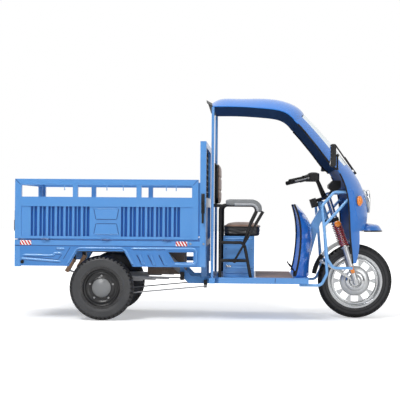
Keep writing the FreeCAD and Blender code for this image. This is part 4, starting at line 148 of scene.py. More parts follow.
def finish(name, colour, rough, metal=0.0, dust=0.1, scale=6.0, bump=0.0, grain=0.0, coat=0.0, marks=(),
           flat=False, gleam=0.5):
    """A Principled finish whose colour and roughness come from the weathered group. Marks are (mask,
    colour) pairs: each mask is a list of tests on Object coordinates and paints its colour where they all
    hold. flat shades folded sheet by each face's own normal."""
    material = bpy.data.materials.new(name)
    material.use_nodes = True
    tree = material.node_tree
    shader = tree.nodes["Principled BSDF"]
    shader.inputs["Metallic"].default_value = metal
    shader.inputs["Coat Weight"].default_value = coat
    shader.inputs["Specular IOR Level"].default_value = gleam
    shader.inputs["Coat Roughness"].default_value = COAT_ROUGHNESS
    worn = add(tree, "ShaderNodeGroup", node_tree=WEATHERED)
    worn.inputs["Colour"].default_value = (*colour, 1)
    worn.inputs["Amount"].default_value = dust
    worn.inputs["Roughness"].default_value = rough
    worn.inputs["Scale"].default_value = scale
    paint = worn.outputs["Colour"]
    for tests, shade in marks:
        paint = painted(tree, paint, tests, shade)
    tree.links.new(paint, shader.inputs["Base Color"])
    tree.links.new(worn.outputs["Roughness"], shader.inputs["Roughness"])
    if bump or grain:
        height = worn.outputs["Height"]
        if grain:
            height = add(tree, "ShaderNodeGroup", {"Scale": grain}, node_tree=GRAIN).outputs["Height"]
        relief = add(tree, "ShaderNodeBump", {"Strength": bump or 0.2, "Distance": BUMP_DEPTH},
                     {"Height": height})
        if flat:
            tree.links.new(add(tree, "ShaderNodeNewGeometry").outputs["True Normal"],
                           relief.inputs["Normal"])
        tree.links.new(relief.outputs["Normal"], shader.inputs["Normal"])
    return material


def painted(tree, paint, tests, shade):
    """Mixes a second colour in where every test holds. A test is (what, way, limit, blur): what is an axis,
    the distance from the middle plane, the distance from an axle, or how far the face looks up or
    outwards."""
    place = add(tree, "ShaderNodeTexCoord").outputs["Object"]
    parts = add(tree, "ShaderNodeSeparateXYZ", links={"Vector": place}).outputs
    normal = add(tree, "ShaderNodeVectorTransform",
                 links={0: add(tree, "ShaderNodeNewGeometry").outputs["Normal"]},
                 vector_type="NORMAL", convert_from="WORLD", convert_to="OBJECT").outputs[0]
    facing = add(tree, "ShaderNodeSeparateXYZ", links={"Vector": normal}).outputs
    mask = None
    for what, way, limit, blur in tests:
        if isinstance(what, tuple):
            gap = add(tree, "ShaderNodeVectorMath", {1: what}, {0: place}, operation="SUBTRACT").outputs[0]
            flat = add(tree, "ShaderNodeVectorMath", {1: (1, 0, 1)}, {0: gap},
                       operation="MULTIPLY").outputs[0]
            value = add(tree, "ShaderNodeVectorMath", links={0: flat}, operation="LENGTH").outputs["Value"]
        elif what == "side":
            value = reckon(tree, "ABSOLUTE", parts["Y"])
        elif what == "upwards":
            value = facing["Z"]
        elif what == "outwards":
            value = reckon(tree, "MULTIPLY", parts["Y"], facing["Y"])
        else:
            value = parts[what]
        test = add(tree, "ShaderNodeMapRange",
                   {"From Min": limit - way * blur, "From Max": limit + way * blur}, {"Value": value})
        mask = test.outputs[0] if mask is None else reckon(tree, "MULTIPLY", mask, test.outputs[0])
    mix = add(tree, "ShaderNodeMix", {7: (*shade, 1)}, data_type="RGBA")
    tree.links.new(mask, mix.inputs[0])
    tree.links.new(paint, mix.inputs[6])
    return mix.outputs[2]


def clear(name, colour, rough, ior, weight=1.0):
    """A clear or tinted lens."""
    material = finish(name, colour, rough, dust=0.02)
    shader = material.node_tree.nodes["Principled BSDF"]
    shader.inputs["Transmission Weight"].default_value = weight
    shader.inputs["IOR"].default_value = ior
    return material


BLUE = (0.085, 0.275, 0.63)
# Painted shade for the walls and bottoms of the gates' pressed grooves.
GROOVE_SHADE_BLUE = (0.003, 0.080, 0.35)
BLUE_LIGHT = (0.16, 0.39, 0.74)
SHELL_BLUE = (0.028, 0.185, 0.60)
BLACK = (0.014, 0.014, 0.016)
# Painted shade for faces that look down.
UNDERSIDE_SHADE_NAVY = (0.030, 0.065, 0.150)
UNDERSIDE = [("upwards", -1, -0.12, 0.06)]
# Dark blue for lines: seam lines, and painted shade along the edges of pressed lines, ribs and plates and
# under the beads.
SEAM_AND_SHADE_BLUE = (0.012, 0.055, 0.20)
SHARP = 0.0002
FRONT_AXLE = (1.181, 0, 0.295)
REAR_AXLE = (-0.788, 0, 0.25)
body_blue = finish("body_blue_paint", BLUE, 0.30, dust=0.05, scale=4.0, bump=0.02, coat=0.4, flat=True,
                   marks=[([("side", 1, 0.503, 0.001)], BLUE_LIGHT)])
skirt_blue = finish("skirt_blue_paint", (0.052, 0.215, 0.55), 0.30, dust=0.04, scale=4.0, bump=0.02,
                    coat=0.4, flat=True)
rail_blue = finish("rail_blue_paint", BLUE, 0.30, dust=0.05, scale=4.0, bump=0.02, coat=0.4, flat=True,
                   marks=[([("Z", 1, 0.6125, 0.0015), ("side", 1, 0.48, SHARP)], SEAM_AND_SHADE_BLUE),
                          ([("Z", -1, 0.5745, 0.003), ("Z", 1, 0.567, SHARP), ("side", 1, 0.48, SHARP)],
                           SEAM_AND_SHADE_BLUE)])
# The side gates' grooves are painted darker as painted shade, and the gate is darker below 0.6255.
ribbed_blue = finish("ribbed_blue_paint", BLUE, 0.30, dust=0.05, scale=4.0, bump=0.02, coat=0.4, flat=True,
                     marks=[([("side", -1, 0.4855, 0.005), ("Z", -1, 0.872, SHARP), ("Z", 1, 0.644, SHARP),
                              ("outwards", 1, -0.1, 0.05)], GROOVE_SHADE_BLUE),
                            ([("Z", -1, 0.6255, 0.0015)], SEAM_AND_SHADE_BLUE)])
# The canopy's down-facing faces are painted dark navy as painted shade, and have no coat.
roof_blue = finish("roof_blue_paint", SHELL_BLUE, 0.30, dust=0.0, scale=4.0, bump=0.02, gleam=0.0,
                   marks=[(UNDERSIDE, UNDERSIDE_SHADE_NAVY)])
glaze = add(roof_blue.node_tree, "ShaderNodeRGB").outputs[0]
glaze.default_value = (0.8, 0.8, 0.8, 1)
roof_blue.node_tree.links.new(painted(roof_blue.node_tree, glaze, UNDERSIDE, (0, 0, 0)),
                              roof_blue.node_tree.nodes["Principled BSDF"].inputs["Coat Weight"])
# Inward-facing faces of the fairing and its creases are painted dark navy: painted shade.
shell_blue = finish("shell_blue_paint", (0.035, 0.21, 0.68), 0.24, dust=0.02, scale=4.0, bump=0.02,
                    coat=0.12, gleam=0.2, marks=[([("outwards", -1, -0.10, 0.05)], (0.012, 0.065, 0.23))])
beak_blue = finish("beak_blue_paint", SHELL_BLUE, 0.24, dust=0.05, scale=4.0, bump=0.02, coat=0.5,
                   marks=[([("Z", -1, 0.700, 0.001)], BLACK)])
frame_blue = finish("frame_blue_paint", BLUE_LIGHT, 0.28, dust=0.05, scale=5.0, bump=0.02, coat=0.6)
# Pressed beads: painted highlight on up-facing faces, painted shade on down-facing faces.
bead_painted_light_blue = finish("pressed_blue_painted_highlight_and_shade", BLUE, 0.26, dust=0.04, scale=4.0, bump=0.02, coat=0.5,
                   marks=[([("upwards", 1, 0.30, 0.25)], (0.22, 0.45, 0.78)),
                          ([("upwards", -1, -0.35, 0.25)], SEAM_AND_SHADE_BLUE)])
# Dark lines: seams, and painted shade along the lower edges of beads, ribs and plates.
seam_and_shade_blue = finish("seam_and_painted_shade_line", SEAM_AND_SHADE_BLUE, 0.5, dust=0.05)
shield_blue = finish("gloss_blue_paint", (0.022, 0.20, 0.78), 0.16, dust=0.02, scale=4.0, bump=0.01,
                     coat=0.3, gleam=0.3)
gloss_black = finish("gloss_black_paint", (0.006, 0.006, 0.007), 0.32, dust=0.03, coat=0.1)
satin_black = finish("satin_black_paint", (0.008, 0.008, 0.009), 0.42, dust=0.05, bump=0.03, gleam=0.2)
chassis_grey = finish("chassis_primer", (0.17, 0.18, 0.19), 0.5, dust=0.3, bump=0.06,
                      marks=[([("X", 1, -0.2, SHARP)], BLUE)])
rear_rubber = finish("rear_tyre_rubber", (0.040, 0.041, 0.044), 0.42, dust=0.05, scale=9.0, bump=0.25,
                     grain=420.0, marks=[([(REAR_AXLE, 1, 0.222, 0.006)], (0.014, 0.014, 0.016))])
# The tread beyond 0.262 from the axle is darker; the thin dark ring between 0.238 and 0.243 is painted shade
# standing in for a groove.
front_rubber = finish("front_tyre_rubber", (0.022, 0.022, 0.024), 0.42, dust=0.04, scale=9.0, bump=0.25,
                      grain=420.0, gleam=0.3,
                      marks=[([(FRONT_AXLE, 1, 0.262, 0.003)], (0.006, 0.006, 0.007)),
                             ([(FRONT_AXLE, 1, 0.238, 0.0015), (FRONT_AXLE, -1, 0.243, 0.0015)],
                              (0.004, 0.004, 0.005))])
soft_rubber = finish("grip_rubber", (0.008, 0.008, 0.009), 0.6, dust=0.05, bump=0.2, grain=600.0, gleam=0.2)
plastic_black = finish("moulded_black", (0.010, 0.010, 0.011), 0.45, dust=0.05, bump=0.15, grain=700.0,
                       gleam=0.25)
plastic_grey = finish("moulded_grey", (0.17, 0.18, 0.19), 0.5, dust=0.08, bump=0.15, grain=500.0)
pad_grey = finish("soft_grey_pad", (0.36, 0.375, 0.40), 0.5, dust=0.08, bump=0.15, grain=500.0)
plastic_brown = finish("moulded_brown", (0.13, 0.085, 0.055), 0.55, dust=0.2, bump=0.12, grain=400.0)
mat_brown = finish("ribbed_mat", (0.26, 0.165, 0.135), 0.65, dust=0.25, bump=0.3, grain=260.0)
seat_black = finish("black_vinyl", (0.010, 0.010, 0.011), 0.4, dust=0.05, bump=0.2, grain=520.0, gleam=0.3)
alloy = finish("cast_alloy", (0.58, 0.59, 0.60), 0.34, metal=0.9, dust=0.08, bump=0.06, grain=900.0)
polished = finish("polished_metal", (0.62, 0.63, 0.64), 0.16, metal=1.0, dust=0.04)
steel = finish("bare_steel", (0.36, 0.36, 0.37), 0.42, metal=0.8, dust=0.25, bump=0.08)
shackle_gold = finish("yellow_plated_steel", (0.34, 0.19, 0.10), 0.4, metal=0.6, dust=0.2, bump=0.08)
spring_red = finish("spring_red_paint", (0.33, 0.018, 0.022), 0.3, dust=0.05, coat=0.5)
amber = finish("amber_lens", (0.85, 0.24, 0.012), 0.18, dust=0.03, coat=0.8)
red_lens = finish("red_lens", (0.5, 0.008, 0.01), 0.18, dust=0.03, coat=0.8)
lamp_glass = clear("lamp_glass", (0.9, 0.93, 0.95), 0.06, 1.45, 0.6)
screen_glass = clear("screen_glass", (0.93, 0.96, 0.97), 0.0, 1.02)
mirror_glass = finish("mirror_glass", (0.8, 0.82, 0.84), 0.04, metal=1.0, dust=0.02)
rim_black = finish("rear_rim_paint", (0.016, 0.016, 0.018), 0.36, dust=0.12, bump=0.03,
                   marks=[([(REAR_AXLE, -1, 0.0736, SHARP), ("side", 1, 0.4405, SHARP)],
                           (0.20, 0.205, 0.21))])
headboard_blue = finish("headboard_paint", BLUE, 0.30, dust=0.06, scale=4.0, bump=0.02, coat=0.4, flat=True,
                        marks=[([("side", 1, 0.5003, SHARP)], BLACK)])
# The tailgate's grooves are painted darker as painted shade.
tailgate_blue = finish("tailgate_paint", BLUE, 0.30, dust=0.06, scale=4.0, bump=0.02, coat=0.4, flat=True,
                       marks=[([("X", 1, -1.4345, 0.005), ("X", -1, -1.40, SHARP), ("Z", -1, 0.872, SHARP),
                                 ("Z", 1, 0.644, SHARP)], GROOVE_SHADE_BLUE),
                              ([("X", -1, -1.4493, SHARP), ("Z", 1, 0.70, SHARP)], BLACK)])

DRESS = {
    body_blue: "floor_pan seat_box cab_posts", skirt_blue: "bed_skirts", rail_blue: "bed_floor",
    shell_blue: "fairing", beak_blue: "nose_beak",
    ribbed_blue: "side_gate_right side_gate_left", roof_blue: "canopy",
    shield_blue: "leg_shield", shackle_gold: "spring_shackles",
    frame_blue: "front_frame guard_bars", headboard_blue: "headboard", tailgate_blue: "tailgate",
    satin_black: "frame_brackets seat_frame latch_front_right latch_front_left latch_rear_right "
                 "latch_rear_left parking_lever headboard_mesh fork_yoke handlebar",
    chassis_grey: "chassis_frame", plastic_brown: "under_box", mat_brown: "floor_mat",
    plastic_black: "batteries rear_visor instruments wiper bar_controls brake_pedal mirror_left mirror_right",
    alloy: "front_rim fork_sliders drive_motor", polished: "fork_stanchions front_mudguard",
    steel: "rear_axle leaf_springs brake_rods brake_lever", spring_red: "fork_springs",
    rim_black: "rear_rim_right rear_rim_left",
    soft_rubber: "throttle_grip", amber: "turn_signals", red_lens: "tail_lamps", lamp_glass: "headlamp",
    screen_glass: "windscreen",
}
for look, names in DRESS.items():
    for name in names.split():
        data = nodes[name].data
        data.materials.clear()
        data.materials.append(look)


# Surfaces
def piece(name, points, look, body, wrap=(False, False), caps=(False, False), smooth=True):
    """A grid of points, rows by columns, as quads. wrap joins the last row or column to the first, and caps
    close the first and last row with a fan to its middle. A piece with no body is left unattached."""
    rows, columns = points.shape[:2]
    number = np.arange(rows * columns).reshape(rows, columns)
    if wrap[0]:
        number = np.vstack([number, number[:1]])
    if wrap[1]:
        number = np.hstack([number, number[:, :1]])
    quads = np.stack([number[:-1, :-1], number[1:, :-1], number[1:, 1:], number[:-1, 1:]],
                     axis=-1).reshape(-1, 4)
    corners = points.reshape(-1, 3)
    faces = quads.tolist()
    for wanted, row, turn in ((caps[0], 0, 1), (caps[1], -1, -1)):
        if wanted:
            middle = len(corners)
            corners = np.vstack([corners, points[row].mean(axis=0)])
            ring = number[row][::turn]
            fan = np.stack([ring[:-1], ring[1:], np.full(len(ring) - 1, middle)], axis=-1)
            faces += fan.tolist()
    mesh = bpy.data.meshes.new(name)
    mesh.from_pydata(corners.tolist(), [], faces)
    mesh.validate()
    made = bpy.data.objects.new(name, mesh)
    scene.collection.objects.link(made)
    tidy_normals(made)
    mesh.materials.append(look)
    mesh.polygons.foreach_set("use_smooth", np.full(len(mesh.polygons), smooth))
    if body:
        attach(made, body)
    return made


def tidy_normals(made):
    """Merges doubles and turns the faces outwards."""
    work = bmesh.new()
    work.from_mesh(made.data)
    bmesh.ops.remove_doubles(work, verts=work.verts, dist=1e-6)
    bmesh.ops.recalc_face_normals(work, faces=work.faces)
    work.to_mesh(made.data)
    work.free()


def arc(first, through, last, count):
    """Points on the circle through three places in a plane, from first to last."""
    (ax, ay), (bx, by), (cx, cy) = first, through, last
    d = 2 * (ax * (by - cy) + bx * (cy - ay) + cx * (ay - by))
    a, b, c = ax * ax + ay * ay, bx * bx + by * by, cx * cx + cy * cy
    ux = (a * (by - cy) + b * (cy - ay) + c * (ay - by)) / d
    uy = (a * (cx - bx) + b * (ax - cx) + c * (bx - ax)) / d
    radius = math.hypot(ax - ux, ay - uy)
    start, mid, stop = (math.atan2(y - uy, x - ux) for x, y in (first, through, last))
    while mid < start:
        mid += math.tau
    while stop < start:
        stop += math.tau
    if mid > stop:
        stop -= math.tau
    angle = np.linspace(start, stop, count)
    return np.stack([ux + radius * np.cos(angle), uy + radius * np.sin(angle)], axis=-1)


def swept(path, profile, across):
    """Carries a flat profile (side, up) along a path: side lies along the vector across, up is square to it
    and to the path's direction."""
    way = np.gradient(path, axis=0)
    way /= np.linalg.norm(way, axis=1, keepdims=True)
    side = np.broadcast_to(np.asarray(across, float), way.shape)
    side = side - way * np.sum(side * way, axis=1, keepdims=True)
    side /= np.linalg.norm(side, axis=1, keepdims=True)
    up = np.cross(side, way)
    if profile.ndim == 2:
        profile = np.broadcast_to(profile, (len(path), *profile.shape))
    return path[:, None] + side[:, None] * profile[..., :1] + up[:, None] * profile[..., 1:]


def ring(radius, count=12, power=2.0, tall=None):
    """A superellipse of the given half width and half height."""
    angle = np.linspace(0, math.tau, count, endpoint=False)
    c, s = np.cos(angle), np.sin(angle)
    shape = np.stack([np.sign(c) * np.abs(c) ** (2 / power), np.sign(s) * np.abs(s) ** (2 / power)],
                     axis=-1)
    return shape * (radius, tall or radius)


def tube(name, path, radius, look, body, across=(0, 1, 0), sides=10):
    """A round bar along a path, closed at both ends."""
    return piece(name, swept(np.asarray(path, float), ring(radius, sides), across), look, body,
                 wrap=(False, True), caps=(True, True))


def curve(points, count):
    """A smooth line through points: a Catmull-Rom curve sampled evenly in its parameter."""
    points = np.asarray(points, float)
    padded = np.vstack([2 * points[0] - points[1], points, 2 * points[-1] - points[-2]])
    place = np.linspace(0, len(points) - 1, count)
    index = np.minimum(place.astype(int), len(points) - 2)
    t = (place - index)[:, None]
    a, b, c, d = (padded[index + k] for k in range(4))
    return 0.5 * (2 * b + (c - a) * t + (2 * a - 5 * b + 4 * c - d) * t ** 2
                  + (3 * b - a - 3 * c + d) * t ** 3)


def lens(name, centre, size, look, body, power, out, up=(0, 0, 1)):
    """A raised plate, wide by tall by proud: a superellipse outline with an upright skirt, whose face domes
    out as one minus the fourth power of the share of the outline."""
    out, up = np.asarray(out, float), np.asarray(up, float)
    side = np.cross(up, out)
    share = np.concatenate([[1.0], np.linspace(1, 0, 9)])[:, None]
    lift = size[2] * np.maximum(1 - share ** 4, 0.45)
    lift[0] = 0
    flat = ring(size[0] / 2, 40, power, size[1] / 2) * share[..., None]
    points = np.asarray(centre, float) + flat[..., :1] * side + flat[..., 1:] * up + lift[..., None] * out
    return piece(name, points, look, body, wrap=(False, True), caps=(True, False))


def bolt(name, spot, out, radius, look, body):
    """A hexagon head with a rounded crown: six-sided rings that shrink as they rise."""
    out = np.asarray(out, float)
    side = np.cross(out, (0.37, 0.11, 0.92))
    side /= np.linalg.norm(side)
    up = np.cross(out, side)
    angle = np.linspace(0, math.tau, 6, endpoint=False)
    grow, lift = np.array([1, 1, 0.86, 0.3]), np.array([0, 0.5, 0.68, 0.74])
    flat = np.stack([np.cos(angle), np.sin(angle)], axis=-1) * radius
    rings = grow[:, None, None] * flat
    points = (np.asarray(spot, float) + rings[..., :1] * side + rings[..., 1:] * up
              + lift[:, None, None] * radius * out)
    return piece(name, points, look, body, wrap=(False, True), caps=(True, True), smooth=False)


# Wheels
REAR_TRACK = 0.425
FRONT_TYRE = {"radius": 0.295, "half": 0.045, "bead": 0.2024, "lugs": 44, "chunky": 0.62, "cut": 0.0065}
REAR_TYRE = {"radius": 0.25, "half": 0.048, "bead": 0.1504, "lugs": 44, "chunky": 0.40, "cut": 0.0095}
NUTS, NUT_CIRCLE, NUT_FACE, NUT_SIZE = 5, 0.093, 0.4416, 0.0085
WALL_RING = 0.0012


def tyre(name, body, centre, look, radius, half, bead, lugs, chunky, cut):
    """A tyre: the section is three arcs, bead to shoulder, across the crown and back, turned about the
    axle. The tread sinks where a zigzag groove or a slot between lugs passes, and rings are raised on the
    walls."""
    side = bead + (radius - bead) * 0.52
    shoulder = bead + (radius - bead) * 0.86
    low, wide, top = half * 0.76, half, half * 0.84
    right = arc((-low, bead), (-wide, side), (-top, shoulder), 22)
    crown = arc((-top, shoulder), (0, radius), (top, shoulder), 34)
    section = np.vstack([right[:-1], crown, right[::-1][1:] * (-1, 1)])
    across, rise = section[:, 0], section[:, 1]
    angle = np.linspace(0, math.tau, lugs * 12, endpoint=False)[:, None]
    phase = angle * lugs / math.tau
    share = across / top
    on_tread = np.clip((rise - (bead + (radius - bead) * 0.74)) / ((radius - bead) * 0.1), 0, 1)
    zig = 0.10 * np.abs(2 * (phase % 1) - 1)
    grooves = sum(np.exp(-((share - middle - zig) / 0.055) ** 2) for middle in (-0.42, -0.05, 0.32))
    slot_phase = (phase + 0.45 * np.sign(share) * np.abs(share)) % 1
    slots = (np.abs(slot_phase - 0.5) < 0.17) * np.clip((np.abs(share) - chunky) / 0.12, 0, 1)
    depth = cut * np.clip(grooves + slots * 1.1, 0, 1.1) * on_tread
    rings = WALL_RING * np.exp(-((rise - bead - (radius - bead) * 0.30) / 0.0025) ** 2)
    rings = rings + WALL_RING * np.exp(-((rise - bead - (radius - bead) * 0.66) / 0.003) ** 2)
    edge = np.gradient(section, axis=0)
    edge /= np.linalg.norm(edge, axis=1, keepdims=True)
    out = np.stack([-edge[:, 1], edge[:, 0]], axis=-1)
    shift = (rings - WALL_RING) - depth
    y = across + out[:, 0] * shift
    r = rise + out[:, 1] * shift
    points = np.stack([centre[0] + r * np.cos(angle), centre[1] + y, centre[2] + r * np.sin(angle)],
                      axis=-1)
    return piece(name, points, look, body, wrap=(True, True))


def turned(name, centre, profile, sign, look, body):
    """A closed profile of (radius, offset along the axle) turned about the axle, on the side of sign."""
    angle = np.linspace(0, math.tau, 96, endpoint=False)[:, None]
    radius, off = np.asarray(profile, float).T
    points = np.stack([centre[0] + radius * np.cos(angle), centre[1] + sign * off + 0 * angle,
                       centre[2] + radius * np.sin(angle)], axis=-1)
    return piece(name, points, look, body, wrap=(True, True))


REAR_FACE = ((0.0745, 0.0152), (0.0745, 0.0185), (0.0775, 0.0205), (0.0815, 0.0195), (0.0840, 0.0166),
             (0.1020, 0.0166), (0.1045, 0.0205), (0.1085, 0.0225), (0.1165, 0.0225), (0.1200, 0.0200),
             (0.1230, 0.0168), (0.1330, 0.0168), (0.1375, 0.0215), (0.1405, 0.0300), (0.1440, 0.0358),
             (0.1446, 0.0340), (0.1446, 0.0152))
HUB_FACE = ((0.0120, 0.0424), (0.0120, 0.0560), (0.0210, 0.0570), (0.0265, 0.0505), (0.0430, 0.0475),
            (0.0490, 0.0525), (0.0615, 0.0525), (0.0670, 0.0470), (0.0750, 0.0455), (0.0757, 0.0440),
            (0.0757, 0.0424))
RIM_LIP = ((0.1950, 0.0350), (0.1950, 0.0400), (0.1985, 0.0415), (0.2018, 0.0405), (0.2018, 0.0398),
           (0.1975, 0.0350))
RIM_STEP = ((0.1660, 0.0060), (0.1660, 0.0110), (0.1690, 0.0125), (0.1880, 0.0125), (0.1915, 0.0100),
            (0.1915, 0.0060))
HUB_CONE = ((0.0764, 0.0074), (0.0764, 0.0340), (0.0795, 0.0350), (0.1100, 0.0110), (0.1150, 0.0084),
            (0.1150, 0.0074))


def dress_wheels():
    """Both kinds of tyre, the rear rims' faces and nuts, and the turned rings of the front rim and hub."""
    front = tyre("front_tyre_tread", "front_wheel", FRONT_AXLE, front_rubber, **FRONT_TYRE)
    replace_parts(front, "front_tyre")
    for sign, side in SIDES:
        body, hub = "rear_wheel_" + side, (REAR_AXLE[0], sign * REAR_TRACK, REAR_AXLE[2])
        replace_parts(tyre("rear_tread_" + side, body, hub, rear_rubber, **REAR_TYRE), "rear_tyre_" + side)
        turned("rear_rim_face_" + side, hub, REAR_FACE, sign, gloss_black, body)
        for number in range(NUTS):
            spoke = math.tau * (number / NUTS + 0.05)
            spot = (hub[0] + NUT_CIRCLE * math.cos(spoke), sign * NUT_FACE,
                    hub[2] + NUT_CIRCLE * math.sin(spoke))
            bolt(f"wheel_nut_{side}_{number}", spot, (0, sign, 0), NUT_SIZE, steel, body)
        turned("hub_cover_" + side, FRONT_AXLE, HUB_FACE, sign, polished, "front_wheel")
        for name, profile, look, slot in (("hub_cone_", HUB_CONE, alloy, "alloy"),
                                          ("rim_lip_", RIM_LIP, polished, "chrome"),
                                          ("rim_step_", RIM_STEP, polished, "chrome")):
            turned(name + side, FRONT_AXLE, profile, sign, look, "front_wheel")


dress_wheels()


# Seat
VINYL_BROWN = (0.30, 0.175, 0.125)
VINYL_BLACK = (0.016, 0.016, 0.018)
CUSHION_SEAM, BACK_SEAM = 0.072, 0.022
PAD_CELL, PAD_FRAMES, PAD_PRESSURE = 0.006, 20, 4.0
FOLD_DEPTH, CHANNEL_DEPTH, CHANNEL_WIDE = 0.006, 0.008, 0.022


def puffed(made, reach, low, high):
    """Blows a pad up as cloth: even cells, twenty frames under a light pressure with no weight, no point
    carried further than reach or out of its box."""
    view = bpy.context.evaluated_depsgraph_get
    cells = made.modifiers.new("cells", "REMESH")
    cells.mode = "VOXEL"
    cells.voxel_size = PAD_CELL
    even = bpy.data.meshes.new_from_object(made.evaluated_get(view()))
    made.modifiers.clear()
    made.data = even
    start = coordinates(even)
    cloth = made.modifiers.new("blown", "CLOTH")
    cloth.settings.use_pressure = True
    cloth.settings.uniform_pressure_force = PAD_PRESSURE
    cloth.settings.effector_weights.gravity = 0.0
    for number in range(1, PAD_FRAMES + 1):
        scene.frame_set(number)
    swollen = coordinates(made.evaluated_get(view()).data)
    made.modifiers.clear()
    scene.frame_set(1)
    step = swollen - start
    far = np.maximum(np.linalg.norm(step, axis=1, keepdims=True), 1e-9)
    start = start + step * np.minimum(1, reach / far)
    return np.clip(start, low, high)


def coordinates(mesh):
    """A mesh's corners as rows of three."""
    flat = np.empty(len(mesh.vertices) * 3)
    mesh.vertices.foreach_get("co", flat)
    return flat.reshape(-1, 3)


def smooth_pad(made, corners, look, node):
    """Puts the blown corners back, and finishes the pad as a piece."""
    made.data.vertices.foreach_set("co", corners.ravel())
    made.data.update()
    made.data.materials.clear()
    made.data.materials.append(look)
    made.data.polygons.foreach_set("use_smooth", np.full(len(made.data.polygons), True))
    finer = made.modifiers.new("finer", "SUBSURF")
    finer.levels = finer.render_levels = 1
    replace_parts(made, node)


def block(low, high, power, crown, axis):
    """A rounded block: a superellipse outline drawn in at both ends, crowned towards one of them."""
    low, high = np.asarray(low, float), np.asarray(high, float)
    middle, half = (low + high) / 2, (high - low) / 2
    others = [k for k in range(3) if k != axis]
    outline = ring(1.0, 96, power)
    grow = np.concatenate([np.linspace(0, 0.93, 10), np.linspace(0.97, 0.97, 8), np.linspace(0.93, 0, 14)])
    rise = np.concatenate([np.full(10, -1.0), np.linspace(-0.82, 1 - crown * 1.1, 8),
                           1 - crown * np.linspace(0.93, 0, 14) ** 2.4])
    points = np.empty((len(grow), 96, 3))
    for k, column in zip(others, outline.T):
        points[..., k] = middle[k] + half[k] * grow[:, None] * column
    points[..., axis] = middle[axis] + half[axis] * rise[:, None]
    return points


def dress_seat():
    """The cushion and the backrest: rounded blocks blown up as cloth, then folded or channelled. The
    cushion's side is gathered by a ripple in height, deepest at mid height, which wanders along the
    side."""
    low, high = (np.asarray(corner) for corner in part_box("seat_cushion"))
    seam = low[2] + CUSHION_SEAM
    cover = finish("seat_cover", VINYL_BROWN, 0.42, dust=0.06, bump=0.22, grain=520.0,
                   marks=[([("Z", -1, seam, SHARP)], VINYL_BLACK)])
    pad = block(low - (0.008, 0.008, -0.003), high + (0.008, 0.008, -0.012), 7.0, 0.5, 2)
    made = piece("cushion", pad, cover, "seat_lid", wrap=(False, True))
    corners = puffed(made, 0.011, low, high)
    middle, half = (low + high) / 2, (high - low) / 2
    rel = (corners - middle) / half
    outer = np.clip((np.max(np.abs(rel[:, :2]), axis=1) - 0.86) / 0.08, 0, 1)
    tall = np.clip((corners[:, 2] - low[2]) / (seam - low[2]), 0, 1)
    run = corners[:, 0] * 1.0 + corners[:, 1] * 0.8
    waves = np.sin(tall * 17 + 2.4 * np.sin(run * 16) + 1.3 * np.sin(run * 41 + 1))
    deep = FOLD_DEPTH * (waves - 1) * 0.5 * outer * np.sin(tall * math.pi) ** 0.6
    flat = rel[:, :2] / np.maximum(np.linalg.norm(rel[:, :2], axis=1, keepdims=True), 1e-6)
    corners[:, :2] += flat * deep[:, None]
    smooth_pad(made, corners, cover, "seat_cushion")
    path = ring(1.0, 161, 7.0)
    path = np.vstack([path, path[:1]]) * (half[:2] * 0.968) + middle[:2]
    path = np.column_stack([path, np.full(len(path), seam)])
    piece("cushion_piping", swept(path[:-1], ring(0.0032, 8), (0, 0, 1)), seat_black, "seat_lid",
          wrap=(True, True))
    low, high = (np.asarray(corner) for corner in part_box("backrest"))
    back = finish("back_cover", VINYL_BROWN, 0.42, dust=0.06, bump=0.22, grain=520.0,
                  marks=[([("X", -1, low[0] + BACK_SEAM, SHARP)], VINYL_BLACK)])
    pad = block(low - (-0.002, 0.007, 0.007), high + (-0.008, 0.007, 0.007), 6.0, 0.45, 0)
    made = piece("back_cushion", pad, back, "chassis", wrap=(False, True))
    corners = puffed(made, 0.007, low, high)
    tall = (corners[:, 2] - low[2]) / (high[2] - low[2])
    front = np.clip((corners[:, 0] - low[0]) / (high[0] - low[0]) * 2 - 1, 0, 1)
    channels = sum(np.exp(-((tall - at) / CHANNEL_WIDE) ** 2) for at in (0.33, 0.66))
    corners[:, 0] -= CHANNEL_DEPTH * front * channels
    smooth_pad(made, corners, back, "backrest")


def dress_arms():
    """Each armrest: a rounded profile carried along the arm tube, outside it by the rise, and round its
    front bend. A second, lighter profile caps the outer half."""
    bend, rise, middle = 0.040, 0.021, (0.354, 0.850)
    turn = np.radians(np.linspace(90, -10, 34))
    round_x, round_z = (middle[k] + (bend + rise) * wave(turn) for k, wave in ((0, np.cos), (1, np.sin)))
    line = np.linspace(0.158, middle[0], 30)[:-1]
    path = np.column_stack([np.append(line, round_x), np.zeros(len(line) + len(turn)),
                            np.append(np.full(len(line), middle[1] + bend + rise), round_z)])
    along = np.linspace(0, 1, len(path))
    base = np.interp(along, [0, 0.02, 0.07, 0.8, 0.97, 1], [0.5, 0.8, 1, 1, 0.72, 0.3])
    lid = np.interp(along, [0.10, 0.13, 0.18, 0.85, 0.97, 1], [0.5, 0.85, 1, 1, 0.85, 0.4])
    for sign, side in SIDES:
        spot = path + (0, sign * 0.4, 0)
        lower = ring(1.0, 28, 3.2) * (0.028, 0.024)
        rest = piece("armrest_" + side, swept(spot, lower * base[:, None, None], (0, 1, 0)), plastic_grey,
                     "chassis", wrap=(False, True), caps=(True, True))
        cap = ring(1.0, 28, 2.6) * (0.030, 0.013)
        upper = (cap * lid[:, None, None] + (0, 0.0125))[10:]
        piece("armrest_pad_" + side, swept(spot[10:], upper, (0, 1, 0)), pad_grey, "chassis",
              wrap=(False, True), caps=(True, True))
        if sign < 0:
            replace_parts(rest, "armrests")


dress_seat()
dress_arms()


